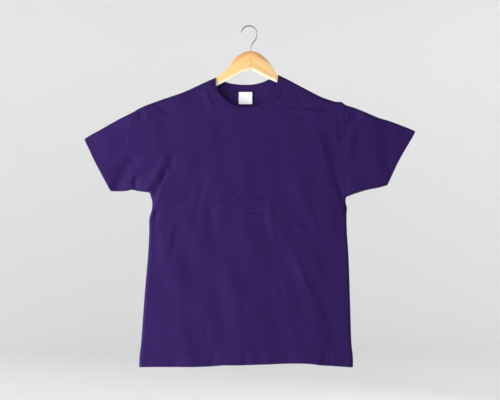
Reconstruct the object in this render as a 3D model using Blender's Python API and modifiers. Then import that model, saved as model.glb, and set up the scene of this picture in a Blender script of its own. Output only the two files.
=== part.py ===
"""Crew-neck t-shirt on a wooden hanger with a wire hook.

The origin is the inside top of the hook, where a pin or a rail carries it. +X points right as seen from
the front, +Y to the back of the shirt, +Z up. Left and right are as seen from the front. The tables are
in millimetres, and the meshes are in metres.
"""

import math
from collections import namedtuple

import bmesh
import bpy
from mathutils import Matrix, Vector

MM = 0.001
FRONT = -1
BACK = 1

# Cloth
WALL = 1.2           # jersey of the panels and sleeves
BAND_WALL = 1.6      # doubled rib of the neckband
BAND_WIDTH = 16.5    # neckband, from its edge to its seam
SEAM_GAP = 0.3       # between two pieces that are sewn together
SIDE_GAP = 0.4       # between the outer faces of the panels, which close to 0.2 at the inner faces
FOLD_RADIUS = 8.0    # where the cloth turns from the front to the back
HEM_DEPTH = 27.0     # turned hem of the body
CUFF_DEPTH = 18.0    # turned hem of a sleeve
HEM_STEP = 0.5       # a turned hem stands proud of its panel by this much
CUFF_FLATNESS = 0.75  # share of the body's depth that is left at a cuff
CUFF_FLATTENING = (260, 430)   # distances from the middle between which it is lost
ON_OUTLINE = 0.01    # points this close to the outline lie on it
WELD = 0.001         # points this close to each other are one
SMOOTH_ANGLE = 40    # faces that meet at less than this many degrees look smooth

# Rows close to a fold follow its turn, and rows at a hem follow its step
FOLD_ROWS = (0.3, 1.6, 4.2, 8.0)
NECK_ROWS = (0.8, 3.2, 7.5)
BAND_ROWS = (0.0, 0.5, 1.0)
HEM_ROWS = (13.0, HEM_DEPTH - 1.0, HEM_DEPTH + 2.0)
CUFF_ROWS = (9.0, CUFF_DEPTH - 1.0, CUFF_DEPTH + 2.0)

# Outline from the front. Columns: x, z
TOP_LEFT = (
    (-88, -135.5), (-102, -141.5), (-134, -156), (-176, -175), (-240, -197), (-284, -214),
    (-309, -228), (-346, -246.5), (-389, -270.7), (-427, -292), (-436.5, -299.2),
)
TOP_RIGHT = (
    (78, -128.5), (110, -144.4), (163, -172.5), (195, -188), (227, -198.8), (246, -200.6), (256, -208),
    (280, -215.7), (311, -228), (343, -241.7), (375, -251.5), (417, -267.4), (440.7, -277.5),
)
CUFF_LEFT = ((-366, -437), (-387, -398), (-409.4, -355.6), (-430, -312), (-436.5, -299.2))
CUFF_RIGHT = (
    (366, -421.5), (376.6, -398), (397, -355.6), (421.4, -313.2), (434, -292), (440.7, -277.5),
)
UNDER_LEFT = (
    (-366, -437), (-345, -437.5), (-324.6, -436.5), (-311, -433.5), (-292.8, -437), (-263.5, -441),
)
UNDER_RIGHT = ((257.5, -453), (279.6, -444.4), (311.4, -434.5), (343.2, -427.9), (366, -421.5))
SIDE_LEFT = (
    (-291.5, -902.5), (-290.5, -875), (-285.7, -832), (-278, -726), (-268.2, -610), (-264.7, -546),
    (-264.3, -510), (-258, -486), (-257, -465), (-263.5, -441),
)
SIDE_RIGHT = (
    (275.8, -903), (275.6, -875), (271.4, -832), (268.2, -726), (264.2, -610), (260, -546), (259, -504),
    (260, -483), (256.5, -465), (257.5, -453),
)
HEM = (
    (-291.5, -902.5), (-250, -901.7), (-134, -901.5), (-91, -899.5), (-70, -897.3), (-28, -897.3),
    (46, -895), (99, -893), (152, -892.9), (195, -897.8), (248, -901.2), (275.8, -903),
)

# Armholes from the underarm up, between their end points on the outline. Columns: x, z
ARMHOLE_LEFT = ((-265, -400), (-267, -350), (-268.5, -300), (-273, -255))
ARMHOLE_RIGHT = ((258.5, -415), (260, -360), (259, -300), (254, -250))
YOKE = 0.62          # share of the armhole that lies below the line through the neck's corners

# Where the shoulder seams reach the armholes: x, z
SHOULDER_SEAM_LEFT = (-284, -214)
SHOULDER_SEAM_RIGHT = (256, -208)

# Neckline, left to right, between its end points on the outline. Columns: x, z
BAND_EDGE_FRONT = (
    (-88, -148), (-86.5, -160), (-79.5, -175.5), (-67, -189.5), (-52, -202), (-36, -210.5), (-19, -214.5),
    (-3, -215), (14, -212.8), (30, -207.5), (46, -199), (60, -187), (70, -173), (76, -157.5), (78.5, -143),
)
BAND_SEAM_FRONT = (
    (-104, -155), (-101.5, -172), (-93, -190), (-78, -207.5), (-60, -220), (-40, -227.7), (-18, -230.7),
    (-3, -231), (17, -228.7), (37, -222.7), (56, -212.5), (73, -198), (85, -181), (92.5, -162),
    (94.5, -149),
)
BAND_EDGE_BACK = (
    (-70, -143.8), (-49, -150), (-28, -152.8), (-7, -153.6), (15, -152), (36, -146.8), (57, -137.8),
)
BAND_SEAM_BACK = (
    (-80, -157.5), (-55, -166.5), (-30, -170.8), (-4, -172), (22, -170), (47, -162.5), (72, -150),
)
NECK_CORNER = 0.23   # share of the front seam that lies beside the neck, on each side

# Shares of the panels' width at which their columns reach the neck's corners
FRONT_SPLIT = (0.335, 0.665)
BACK_SPLIT = (0.335, 0.70)

# How far each outer face stands from the middle plane, down the shirt
Depth = namedtuple("Depth", "z front back")
DEPTHS = (
    Depth(-130, 10.3, 10.0),
    Depth(-260, 13.0, 10.0),
    Depth(-450, 16.5, 10.5),
    Depth(-700, 15.5, 10.0),
    Depth(-905, 13.5, 9.6),
)

# Largest folds: a ridge where the height is positive, a trough where it is negative.
# Each runs from a first point through a middle one to a last one, and dies out at its ends.
Fold = namedtuple("Fold", "x0 z0 x1 z1 x2 z2 width height")
FRONT_FOLDS = (
    Fold(58, -470, 128, -625, 205, -830, 30, 6.0),        # long diagonal on the right
    Fold(86, -500, 158, -635, 228, -830, 22, -3.5),       # its valley
    Fold(128, -400, 158, -487, 190, -585, 24, 3.5),       # short diagonal above it
    Fold(172, -245, 214, -340, 250, -490, 26, -4.5),      # beside the right armhole
    Fold(-258, -450, -236, -400, -216, -340, 20, 5.0),    # from the left underarm up
    Fold(-242, -462, -214, -398, -205, -340, 18, -3.5),   # its valley
    Fold(-256, -492, -212, -477, -150, -455, 20, -4.0),   # from the left side inwards
    Fold(-240, -515, -222, -560, -226, -620, 24, 3.5),    # below it
    Fold(-312, -436, -291, -392, -238, -362, 20, -4.0),   # across the left sleeve
    Fold(-362, -424, -338, -385, -306, -340, 26, -3.0),   # outer fold of the left sleeve
    Fold(60, -222, 150, -214, 220, -226, 20, -3.0),       # across the right shoulder
    Fold(262, -232, 268, -290, 262, -360, 22, 3.5),       # head of the right sleeve
    Fold(-122, -465, -123, -515, -120, -570, 18, 2.5),    # short uprights on the chest
    Fold(-76, -480, -78, -520, -74, -565, 18, 2.0),
)
BACK_FOLDS = (
    Fold(-200, -470, -120, -600, -60, -780, 34, 3.0),
    Fold(225, -470, 160, -590, 130, -720, 30, 3.0),
    Fold(-250, -470, -215, -400, -200, -330, 26, -2.5),
    Fold(245, -480, 205, -410, 190, -335, 26, -2.5),
    Fold(-40, -420, 10, -560, 0, -720, 36, 2.5),
)

# Label, sewn under the back of the neckband. The neck shows all of it
LABEL_SIZE = (36.0, 0.8, 32.6)
LABEL_CENTRE = (-9.4, -189.4)

# Hanger arms as far as the neck shows them, from the joint outwards. Columns: x, top z, bottom z
Section = namedtuple("Section", "x top bottom")
ARM_LEFT = (
    Section(-8, -67.2, -119.0), Section(-20, -72.2, -123.7), Section(-31, -79.0, -129.4),
    Section(-43, -92.6, -135.7), Section(-51, -104.8, -139.9), Section(-60, -113.4, -144.6),
    Section(-70, -121.6, -149.8), Section(-80, -130.6, -155.0),
)
ARM_RIGHT = (
    Section(14, -66.8, -119.6), Section(24, -70.2, -124.2), Section(38, -80.4, -131.4),
    Section(48, -89.8, -136.5), Section(55, -97.4, -140.2), Section(62.5, -109.2, -143.6),
    Section(69, -119.6, -146.4), Section(74, -128.4, -149.2),
)

# From there they follow the shoulders, a little below the cloth, to their rounded ends
ARM_START = (-88.5, 78.5)
ARM_REACH = (-223.0, 227.0)
ARM_HEIGHT = (21.4, 17.0)     # upright, where it leaves the neck and near its end
ARM_STEPS = 7
SHOULDER_DROP = 2.1           # upright, from the outline down to the wood, cloth included
NECK_DROP = 2.6               # the same under the neckband
ARM_END = ((6.0, 0.6), (2.0, 2.6), (0.0, 6.2))   # distance from the end, and what is rounded off there

JOINT_X = 4.4
JOINT_TOP = -65.2
JOINT_BOTTOM = -115.0
ARM_THICKNESS = 11.2
ARM_TOP_ROUND = 4.4       # rounding along the top
ARM_LOWER_BEVEL = 8.0     # sloping strip along the bottom
ARM_EDGE = 2.0            # half width of the edge below that strip
ARM_BEVEL_MIDDLE = (0.67, 0.35)   # the strip is bowed: how far out and up its middle lies
ARM_ROUND_SHARE = 0.3     # neither of them takes more than its share of the arm's height
ARM_BEVEL_SHARE = 0.4

# Wire hook: most of a circle over the pin, then a swan neck down into the wood
WIRE = 3.2
HOOK_RADIUS = 21.0
HOOK_TIP_ANGLE = 167.0
HOOK_TURN_ANGLE = -12.0
HOOK_STEPS = 22
HOOK_NECK_STEPS = 16
HOOK_ROUNDNESS = 2
HOOK_NECK = ((17.6, -34.2), (10.6, -43.4), (6.4, -52.2), (4.7, -60.5), (JOINT_X, -68.0), (JOINT_X, -84.0))
HOLE_GAP = 0.3
HOLE_SIDES = 16
HOLE_TOP = -55.0
HOLE_BOTTOM = -84.5

# Finish. Columns: colour, roughness, metallic
JERSEY = ((0.037, 0.015, 0.110, 1.0), 0.85, 0.0)
RIB = ((0.034, 0.014, 0.100, 1.0), 0.88, 0.0)
LABEL_CLOTH = ((0.86, 0.84, 0.86, 1.0), 0.6, 0.0)
WOOD = ((0.85, 0.58, 0.26, 1.0), 0.4, 0.0)
CHROME = ((0.62, 0.62, 0.63, 1.0), 0.18, 1.0)


class Curve:
    """A smooth curve through points of the front plane, measured along its length."""

    STEPS = 10

    def __init__(self, points):
        knots = [Vector(point) for point in points]
        ends = [knots[0], *knots, knots[-1]]
        self.points = []
        for before, start, end, after in zip(ends, ends[1:], ends[2:], ends[3:]):
            for step in range(self.STEPS):
                self.points.append(catmull_rom(before, start, end, after, step / self.STEPS))
        self.points.append(knots[-1])
        self.marks = [0.0]
        for start, end in zip(self.points, self.points[1:]):
            self.marks.append(self.marks[-1] + (end - start).length)
        self.length = self.marks[-1]

    def at(self, share):
        """The point at a share of the length, 0 to 1."""
        target = min(max(share, 0.0), 1.0) * self.length
        for index in range(1, len(self.marks)):
            if self.marks[index] >= target:
                start, end = self.marks[index - 1], self.marks[index]
                share_of_span = (target - start) / (end - start)
                return self.points[index - 1].lerp(self.points[index], share_of_span)
        return self.points[-1].copy()

    def part(self, start, end):
        """A border that runs between two shares of the curve."""
        return lambda share: self.at(start + (end - start) * share)

    def height_at(self, x):
        """z of the curve above or below x."""
        for start, end in zip(self.points, self.points[1:]):
            if min(start.x, end.x) <= x <= max(start.x, end.x) and start.x != end.x:
                return start.y + (end.y - start.y) * (x - start.x) / (end.x - start.x)
        return self.points[0].y if abs(x) < abs(self.points[0].x) else self.points[-1].y

    def nearest(self, point):
        """Distance to a point, and the share of the length where it is least."""
        best = (math.inf, 0.0)
        for index in range(1, len(self.points)):
            start = self.points[index - 1]
            span = self.points[index] - start
            along = min(max((point - start).dot(span) / span.length_squared, 0.0), 1.0)
            distance = (start + span * along - point).length
            if distance < best[0]:
                best = (distance, (self.marks[index - 1] + span.length * along) / self.length)
        return best


def catmull_rom(before, start, end, after, t):
    """Point at t between start and end on the curve through all four."""
    slope = (end - before) * t
    bend = (2 * before - 5 * start + 4 * end - after) * t ** 2
    twist = (3 * start - before - 3 * end + after) * t ** 3
    return (2 * start + slope + bend + twist) * 0.5


def line(start, end):
    """A straight border between two points."""
    return lambda share: start.lerp(end, share)


def joined(splits, *borders):
    """One border made of several, each with its own range of shares."""
    marks = [0.0, *splits, 1.0]

    def border(share):
        for start, end, piece in zip(marks, marks[1:], borders):
            if share <= end:
                return piece((share - start) / (end - start))
        return borders[-1](1.0)

    return border


def spread(count, length, first=(), last=()):
    """Shares of a length: rows near its ends, given in mm, and even rows between them."""
    near = [inset / length for inset in first]
    far = [1 - inset / length for inset in reversed(last)]
    start = near[-1] if near else 0.0
    end = far[0] if far else 1.0
    middle = [start + (end - start) * step / count for step in range(1, count)]
    return [0.0, *near, *middle, *far, 1.0]


def chained(splits, *lists):
    """Lists of shares set one after the other, each in its own range."""
    marks = [0.0, *splits, 1.0]
    shares = [0.0]
    for start, end, inner in zip(marks, marks[1:], lists):
        shares.extend(start + (end - start) * share for share in inner[1:])
    return shares


def smoothstep(low, high, value):
    """0 at low, 1 at high, with a soft change between them."""
    t = min(max((value - low) / (high - low), 0.0), 1.0)
    return t * t * (3 - 2 * t)


# Outline curves and the points where the seams meet them
top_left = Curve(TOP_LEFT)
top_right = Curve(TOP_RIGHT)
under_left = Curve(UNDER_LEFT)
under_right = Curve(UNDER_RIGHT)
side_left = Curve(SIDE_LEFT)
side_right = Curve(SIDE_RIGHT)
hem = Curve(HEM)
cuff_left = Curve(CUFF_LEFT)
cuff_right = Curve(CUFF_RIGHT)
OUTLINE = (top_left, top_right, under_left, under_right, side_left, side_right)

band_share_left = BAND_WIDTH / top_left.length
band_share_right = BAND_WIDTH / top_right.length
shoulder_share_left = top_left.nearest(Vector(SHOULDER_SEAM_LEFT))[1]
shoulder_share_right = top_right.nearest(Vector(SHOULDER_SEAM_RIGHT))[1]
FOLD_CURVES = {
    side: [(Curve(((f.x0, f.z0), (f.x1, f.z1), (f.x2, f.z2))), f.width, f.height) for f in folds]
    for side, folds in ((FRONT, FRONT_FOLDS), (BACK, BACK_FOLDS))
}


def base_depth(point, side):
    """Distance from the middle plane to the outer face, before the folds."""
    heights = [row.z for row in DEPTHS]
    values = [row.front if side == FRONT else row.back for row in DEPTHS]
    z = min(max(point.y, heights[-1]), heights[0])
    for index in range(1, len(heights)):
        if z >= heights[index]:
            share = smoothstep(heights[index - 1], heights[index], z)
            depth = values[index - 1] + (values[index] - values[index - 1]) * share
            break
    flat = smoothstep(*CUFF_FLATTENING, abs(point.x))
    return depth * (1 - (1 - CUFF_FLATNESS) * flat)


def relief(point, side):
    """Sum of the folds at a point."""
    total = 0.0
    for curve, width, height in FOLD_CURVES[side]:
        distance, share = curve.nearest(point)
        if distance < width:
            across = (1 - (distance / width) ** 2) ** 2
            along = math.sqrt(max(4 * share * (1 - share), 0.0))
            total += height * across * along
    return total


def outer_face(point, side, extra=0.0):
    """y of the cloth's outer face: it turns round to the middle plane at the outline."""
    inset = min(curve.nearest(point)[0] for curve in OUTLINE)
    if inset < ON_OUTLINE:
        return 0.0
    turn = 1 - min(inset / FOLD_RADIUS, 1.0)
    return side * (base_depth(point, side) + relief(point, side) + extra) * math.sqrt(1 - turn ** 2)


def patch(bottom, top, left, right, columns, rows):
    """Grid of points between four borders; bottom and top run right, left and right run up."""
    grid = []
    for v in rows:
        row = []
        for u in columns:
            edges = bottom(u) * (1 - v) + top(u) * v + left(v) * (1 - u) + right(v) * u
            lower = bottom(0) * (1 - u) + bottom(1) * u
            upper = top(0) * (1 - u) + top(1) * u
            row.append(edges - lower * (1 - v) - upper * v)
        grid.append(row)
    return grid


def add_grid(bm, grid, side, depth):
    """Add a grid of quads whose faces point outwards."""
    rows = [[bm.verts.new(Vector((p.x, depth(p), p.y)) * MM) for p in row] for row in grid]
    for lower, upper in zip(rows, rows[1:]):
        for index in range(len(lower) - 1):
            corners = (lower[index], lower[index + 1], upper[index + 1], upper[index])
            bm.faces.new(corners if side == FRONT else corners[::-1])


def new_material(name, finish):
    """A plain material of one colour, roughness and metallic value."""
    colour, roughness, metallic = finish
    material = bpy.data.materials.new(name)
    material.use_nodes = True
    shader = material.node_tree.nodes["Principled BSDF"]
    shader.inputs["Base Color"].default_value = colour
    shader.inputs["Roughness"].default_value = roughness
    shader.inputs["Metallic"].default_value = metallic
    material.diffuse_color = colour
    return material


def new_object(name, bm, collection, finish=None):
    """An object made from a bmesh, in a collection, with its own material."""
    mesh = bpy.data.meshes.new(name)
    bm.to_mesh(mesh)
    bm.free()
    obj = bpy.data.objects.new(name, mesh)
    collection.objects.link(obj)
    if finish:
        mesh.materials.append(new_material(name, finish))
        mesh.shade_smooth()
        mesh.set_sharp_from_angle(angle=math.radians(SMOOTH_ANGLE))
    return obj


def cloth(name, grids, depths, wall, collection, finish):
    """A cloth wall: grids welded where they share a border, thickened inwards.

    grids is a list of (side, grid), depths gives the outer face's y for each side.
    """
    bm = bmesh.new()
    for side, grid in grids:
        add_grid(bm, grid, side, depths[side])
    bmesh.ops.remove_doubles(bm, verts=bm.verts, dist=WELD * MM)
    obj = new_object(name, bm, collection, finish)
    shell = obj.modifiers.new("Wall", "SOLIDIFY")
    shell.thickness = wall * MM
    shell.offset = -1.0
    return obj


def hemmed(side, edge, rows, gap):
    """Outer face of a piece whose hem is turned along an edge, half a gap from the middle plane."""
    def depth(point):
        step = HEM_STEP * (1 - smoothstep(rows[1], rows[2], edge.nearest(point)[0]))
        return outer_face(point, side, step) + side * gap / 2
    return depth


# Seams between the pieces
shoulder_left = top_left.part(shoulder_share_left, band_share_left)
shoulder_right = top_right.part(band_share_right, shoulder_share_right)
underarm_left = side_left.at(1)
underarm_right = side_right.at(1)
underarm_line = line(underarm_left, underarm_right)
armhole_left = Curve((underarm_left, *ARMHOLE_LEFT, top_left.at(shoulder_share_left)))
armhole_right = Curve((underarm_right, *ARMHOLE_RIGHT, top_right.at(shoulder_share_right)))
neck_ends = (top_left.at(band_share_left), top_right.at(band_share_right))
seam_front = Curve((neck_ends[0], *BAND_SEAM_FRONT, neck_ends[1]))
seam_back = Curve((neck_ends[0], *BAND_SEAM_BACK, neck_ends[1]))
edge_front = Curve((top_left.at(0), *BAND_EDGE_FRONT, top_right.at(0)))
edge_back = Curve((top_left.at(0), *BAND_EDGE_BACK, top_right.at(0)))

# Columns and rows of the cloth: how many even ones, and the length in mm that they share
side_columns = spread(7, 175, first=FOLD_ROWS)
side_columns_right = spread(7, 175, last=FOLD_ROWS)
neck_columns = spread(14, 170)
neck_columns_back = spread(8, 205, first=NECK_ROWS, last=NECK_ROWS)
back_columns = spread(5, 175, first=FOLD_ROWS)
back_columns_right = spread(5, 175, last=FOLD_ROWS)
lower_rows = spread(16, 460, first=HEM_ROWS)
lower_rows_back = spread(10, 460, first=HEM_ROWS)
armpit_rows = spread(6, 145, first=FOLD_ROWS)
yoke_rows = spread(4, 75, last=FOLD_ROWS)
armhole_rows = chained((YOKE,), armpit_rows, yoke_rows)
sleeve_columns = spread(6, 150, first=CUFF_ROWS)


def build_front(collection):
    """Front panel: below the arms, up to the neck's corners, and a yoke on each side of the neck."""
    columns = chained(FRONT_SPLIT, side_columns, neck_columns, side_columns_right)
    corner_left = seam_front.at(NECK_CORNER)
    corner_right = seam_front.at(1 - NECK_CORNER)
    yoke_left = line(armhole_left.at(YOKE), corner_left)
    yoke_right = line(corner_right, armhole_right.at(YOKE))
    chest_top = joined(FRONT_SPLIT, yoke_left, seam_front.part(NECK_CORNER, 1 - NECK_CORNER), yoke_right)
    grids = [
        patch(hem.part(0, 1), underarm_line, side_left.part(0, 1), side_right.part(0, 1),
              columns, lower_rows),
        patch(underarm_line, chest_top, armhole_left.part(0, YOKE), armhole_right.part(0, YOKE),
              columns, armpit_rows),
        patch(yoke_left, shoulder_left, armhole_left.part(YOKE, 1), seam_front.part(NECK_CORNER, 0),
              side_columns, yoke_rows),
        patch(yoke_right, shoulder_right, seam_front.part(1 - NECK_CORNER, 1), armhole_right.part(YOKE, 1),
              side_columns_right, yoke_rows),
    ]
    cloth("front_panel", [(FRONT, grid) for grid in grids], {FRONT: hemmed(FRONT, hem, HEM_ROWS, SIDE_GAP)},
          WALL, collection, JERSEY)


def build_back(collection):
    """Back panel: it reaches higher at the neck than the front."""
    columns = chained(BACK_SPLIT, back_columns, neck_columns_back, back_columns_right)
    top = joined(BACK_SPLIT, shoulder_left, seam_back.part(0, 1), shoulder_right)
    grids = [
        patch(hem.part(0, 1), underarm_line, side_left.part(0, 1), side_right.part(0, 1),
              columns, lower_rows_back),
        patch(underarm_line, top, armhole_left.part(0, 1), armhole_right.part(0, 1), columns, armhole_rows),
    ]
    cloth("back_panel", [(BACK, grid) for grid in grids], {BACK: hemmed(BACK, hem, HEM_ROWS, SIDE_GAP)},
          WALL, collection, JERSEY)


def build_sleeve(name, top, under, cuff, armhole, sign, collection):
    """A sleeve: one tube from the armhole to the cuff, folded along its top and its underside.

    top and under run from the cuff to the armhole, cuff and armhole run up, and sign is -1 on the left.
    """
    inner = Curve((under(1), *[Vector((x + sign * SEAM_GAP, z)) for x, z in armhole], top(1)))
    if sign < 0:
        grid = patch(under, top, cuff.part(0, 1), inner.part(0, 1), sleeve_columns, armhole_rows)
    else:
        columns = [1 - share for share in reversed(sleeve_columns)]
        grid = patch(lambda share: under(1 - share), lambda share: top(1 - share), inner.part(0, 1),
                     cuff.part(0, 1), columns, armhole_rows)
    depths = {side: hemmed(side, cuff, CUFF_ROWS, 0) for side in (FRONT, BACK)}
    cloth(name, [(FRONT, grid), (BACK, grid)], depths, WALL, collection, JERSEY)


def build_neckband(collection):
    """Neckband: a ring of rib round the neck, over the hanger at both ends."""
    front_columns = chained((NECK_CORNER, 1 - NECK_CORNER), [1 - v for v in reversed(yoke_rows)],
                            neck_columns, yoke_rows)
    seam_share = 1 - SEAM_GAP / BAND_WIDTH
    left = top_left.part(band_share_left * seam_share, 0)
    right = top_right.part(band_share_right * seam_share, 0)

    def beside_seam(seam, edge):
        """Border a gap away from the seam, which meets the outline at both ends."""
        def border(share):
            if share in (0, 1):
                return (left, right)[int(share)](0)
            return edge.at(share).lerp(seam.at(share), seam_share)
        return border

    grids = []
    for side, seam, edge, columns in ((FRONT, seam_front, edge_front, front_columns),
                                      (BACK, seam_back, edge_back, neck_columns_back)):
        grid = patch(beside_seam(seam, edge), edge.part(0, 1), left, right, columns, BAND_ROWS)
        grids.append((side, grid))
    proud = BAND_WALL - WALL
    depths = {side: (lambda point, side=side: outer_face(point, side, proud)) for side in (FRONT, BACK)}
    cloth("neckband", grids, depths, BAND_WALL, collection, RIB)


def build_label(collection):
    """Label: a small woven rectangle on the inside of the back panel."""
    width, thickness, height = LABEL_SIZE
    x, z = LABEL_CENTRE
    inner_face = outer_face(Vector((x, z)), BACK) + SIDE_GAP / 2 - WALL
    bpy.ops.mesh.primitive_cube_add(size=MM)
    obj = bpy.context.object
    obj.name = "neck_label"
    obj.data.transform(Matrix.Diagonal((width, thickness, height, 1.0)))
    obj.location = Vector((x, inner_face - SEAM_GAP - thickness / 2, z)) * MM
    obj.data.materials.append(new_material("neck_label", LABEL_CLOTH))
    move_to(obj, collection)


def move_to(obj, collection):
    """Put an object in one collection only."""
    for other in list(obj.users_collection):
        other.objects.unlink(obj)
    collection.objects.link(obj)


def under_shoulder(curve, start, reach):
    """Sections of a hanger arm under the shoulder, from the neck to the arm's rounded end."""
    outward = math.copysign(1, reach)
    stations = [(start + (reach - outward * ARM_END[0][0] - start) * step / ARM_STEPS, 0.0)
                for step in range(ARM_STEPS)]
    stations += [(reach - outward * distance, cut) for distance, cut in ARM_END]
    sections = []
    for x, cut in stations:
        share = (x - start) / (reach - start)
        drop = NECK_DROP if abs(x - start) < BAND_WIDTH else SHOULDER_DROP
        top = curve.height_at(x) - drop
        height = ARM_HEIGHT[0] + (ARM_HEIGHT[1] - ARM_HEIGHT[0]) * share
        sections.append(Section(x, top - cut, top - height + cut))
    return sections


def arm_section(section):
    """Closed section of a hanger arm, upright at x: rounded top, sloping strip at the bottom."""
    half = ARM_THICKNESS / 2
    height = section.top - section.bottom
    rounding = min(ARM_TOP_ROUND, height * ARM_ROUND_SHARE)
    bevel = min(ARM_LOWER_BEVEL, height * ARM_BEVEL_SHARE)
    profile = []
    for angle in (0, 30, 60, 90):
        turn = math.radians(angle)
        across = half - rounding * (1 - math.sin(turn))
        profile.append((across, section.top - rounding * (1 - math.cos(turn))))
    profile.append((half, section.bottom + bevel))
    across, up = ARM_BEVEL_MIDDLE
    profile.append((ARM_EDGE + (half - ARM_EDGE) * across, section.bottom + bevel * up))
    profile.append((ARM_EDGE, section.bottom))
    loop = [(y, z) for y, z in profile] + [(-y, z) for y, z in reversed(profile)]
    return [Vector((section.x, y, z)) * MM for y, z in loop]


def build_arm(name, sections, joint_x, hole, collection):
    """A hanger arm, lofted through its sections, with half of the hook's hole in its joint face."""
    bm = bmesh.new()
    stations = [Section(joint_x, JOINT_TOP, JOINT_BOTTOM), *sections]
    rings = [[bm.verts.new(point) for point in arm_section(station)] for station in stations]
    for inner, outer in zip(rings, rings[1:]):
        for index in range(len(inner)):
            after = (index + 1) % len(inner)
            bm.faces.new((inner[index], inner[after], outer[after], outer[index]))
    bm.faces.new(rings[0])
    bm.faces.new(rings[-1])
    bmesh.ops.recalc_face_normals(bm, faces=bm.faces)
    obj = new_object(name, bm, collection, WOOD)
    drill = obj.modifiers.new("Hook hole", "BOOLEAN")
    drill.operation = "DIFFERENCE"
    drill.solver = "EXACT"
    drill.object = hole


def build_hole(cutters):
    """Cutter for the hook's hole, down from above the wood."""
    height = HOLE_TOP - HOLE_BOTTOM
    radius = WIRE / 2 + HOLE_GAP
    bpy.ops.mesh.primitive_cylinder_add(vertices=HOLE_SIDES, radius=radius * MM, depth=height * MM)
    hole = bpy.context.object
    hole.name = "hook_hole"
    hole.location = Vector((JOINT_X, 0, HOLE_BOTTOM + height / 2)) * MM
    hole.hide_render = True
    hole.display_type = "WIRE"
    move_to(hole, cutters)
    return hole


def build_hook(collection):
    """Hook: one bent wire, open on the left, that ends inside the wood."""
    centre = Vector((0, -HOOK_RADIUS + WIRE / 2))
    start, end = math.radians(HOOK_TIP_ANGLE), math.radians(HOOK_TURN_ANGLE)
    bow = []
    for step in range(HOOK_STEPS + 1):
        angle = start + (end - start) * step / HOOK_STEPS
        bow.append(centre + HOOK_RADIUS * Vector((math.cos(angle), math.sin(angle))))
    neck = Curve((bow[-1], *HOOK_NECK))
    route = bow + [neck.at((step + 1) / HOOK_NECK_STEPS) for step in range(HOOK_NECK_STEPS)]
    data = bpy.data.curves.new("hanger_hook", "CURVE")
    data.dimensions = "3D"
    spline = data.splines.new("POLY")
    spline.points.add(len(route) - 1)
    for target, point in zip(spline.points, route):
        target.co = (point.x * MM, 0.0, point.y * MM, 1.0)
    data.bevel_depth = WIRE / 2 * MM
    data.bevel_resolution = HOOK_ROUNDNESS
    data.use_fill_caps = True
    data.materials.append(new_material("hanger_hook", CHROME))
    collection.objects.link(bpy.data.objects.new("hanger_hook", data))


def main():
    """Build every piece in its collection."""
    for obj in list(bpy.data.objects):
        bpy.data.objects.remove(obj)
    scene = bpy.context.scene
    shirt = bpy.data.collections.new("crew neck t-shirt on a hanger")
    cutters = bpy.data.collections.new("cutters")
    scene.collection.children.link(shirt)
    scene.collection.children.link(cutters)

    build_front(shirt)
    build_back(shirt)
    build_sleeve("sleeve_left", top_left.part(1, shoulder_share_left + SEAM_GAP / top_left.length),
                 under_left.part(0, 1 - SEAM_GAP / under_left.length), cuff_left, ARMHOLE_LEFT, -1, shirt)
    build_sleeve("sleeve_right", top_right.part(1, shoulder_share_right + SEAM_GAP / top_right.length),
                 under_right.part(1, SEAM_GAP / under_right.length), cuff_right, ARMHOLE_RIGHT, 1, shirt)
    build_neckband(shirt)
    build_label(shirt)
    hole = build_hole(cutters)
    left_arm = [*ARM_LEFT, *under_shoulder(top_left, ARM_START[0], ARM_REACH[0])]
    right_arm = [*ARM_RIGHT, *under_shoulder(top_right, ARM_START[1], ARM_REACH[1])]
    build_arm("hanger_arm_left", left_arm, JOINT_X - SEAM_GAP / 2, hole, shirt)
    build_arm("hanger_arm_right", right_arm, JOINT_X + SEAM_GAP / 2, hole, shirt)
    build_hook(shirt)


main()
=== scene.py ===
"""Looks of a crew-neck t-shirt on a wooden hanger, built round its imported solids.

The origin is the inside top of the hook. +X points right as seen from the front, +Y to the back of the
shirt, +Z up, and left and right are as seen from the front. Tables are in millimetres, meshes in metres.
"""

import logging
import math
from collections.abc import Callable, Sequence
from dataclasses import dataclass, field
from enum import Enum
from functools import partial

import bmesh
import bpy
import numpy as np
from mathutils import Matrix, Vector


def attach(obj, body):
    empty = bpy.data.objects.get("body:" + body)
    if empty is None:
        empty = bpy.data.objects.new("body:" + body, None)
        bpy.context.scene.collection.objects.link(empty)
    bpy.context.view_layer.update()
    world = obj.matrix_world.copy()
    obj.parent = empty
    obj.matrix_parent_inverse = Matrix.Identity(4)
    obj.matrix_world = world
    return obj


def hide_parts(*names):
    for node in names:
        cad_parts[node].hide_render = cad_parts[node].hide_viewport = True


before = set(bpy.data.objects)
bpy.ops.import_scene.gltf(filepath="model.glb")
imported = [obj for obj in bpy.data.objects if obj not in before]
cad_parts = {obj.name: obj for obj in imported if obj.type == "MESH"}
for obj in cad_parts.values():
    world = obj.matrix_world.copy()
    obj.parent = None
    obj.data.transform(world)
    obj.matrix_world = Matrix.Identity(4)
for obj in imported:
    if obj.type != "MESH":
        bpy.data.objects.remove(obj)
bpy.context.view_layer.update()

MM = 0.001
BODY = "root"
log = logging.getLogger("t-shirt")

Points = np.ndarray
Border = Callable[[np.ndarray], np.ndarray]
Depth = Callable[[np.ndarray], np.ndarray]
Path = tuple[tuple[float, float], ...]
Colour = tuple[float, float, float]


class Side(Enum):
    """The two sides of the shirt, with the direction of y in which each one faces."""

    FRONT = -1
    BACK = 1


class Hand(Enum):
    """The two halves of the shirt and of the hanger, with the direction of x in which each one lies."""

    LEFT = -1
    RIGHT = 1


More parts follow.
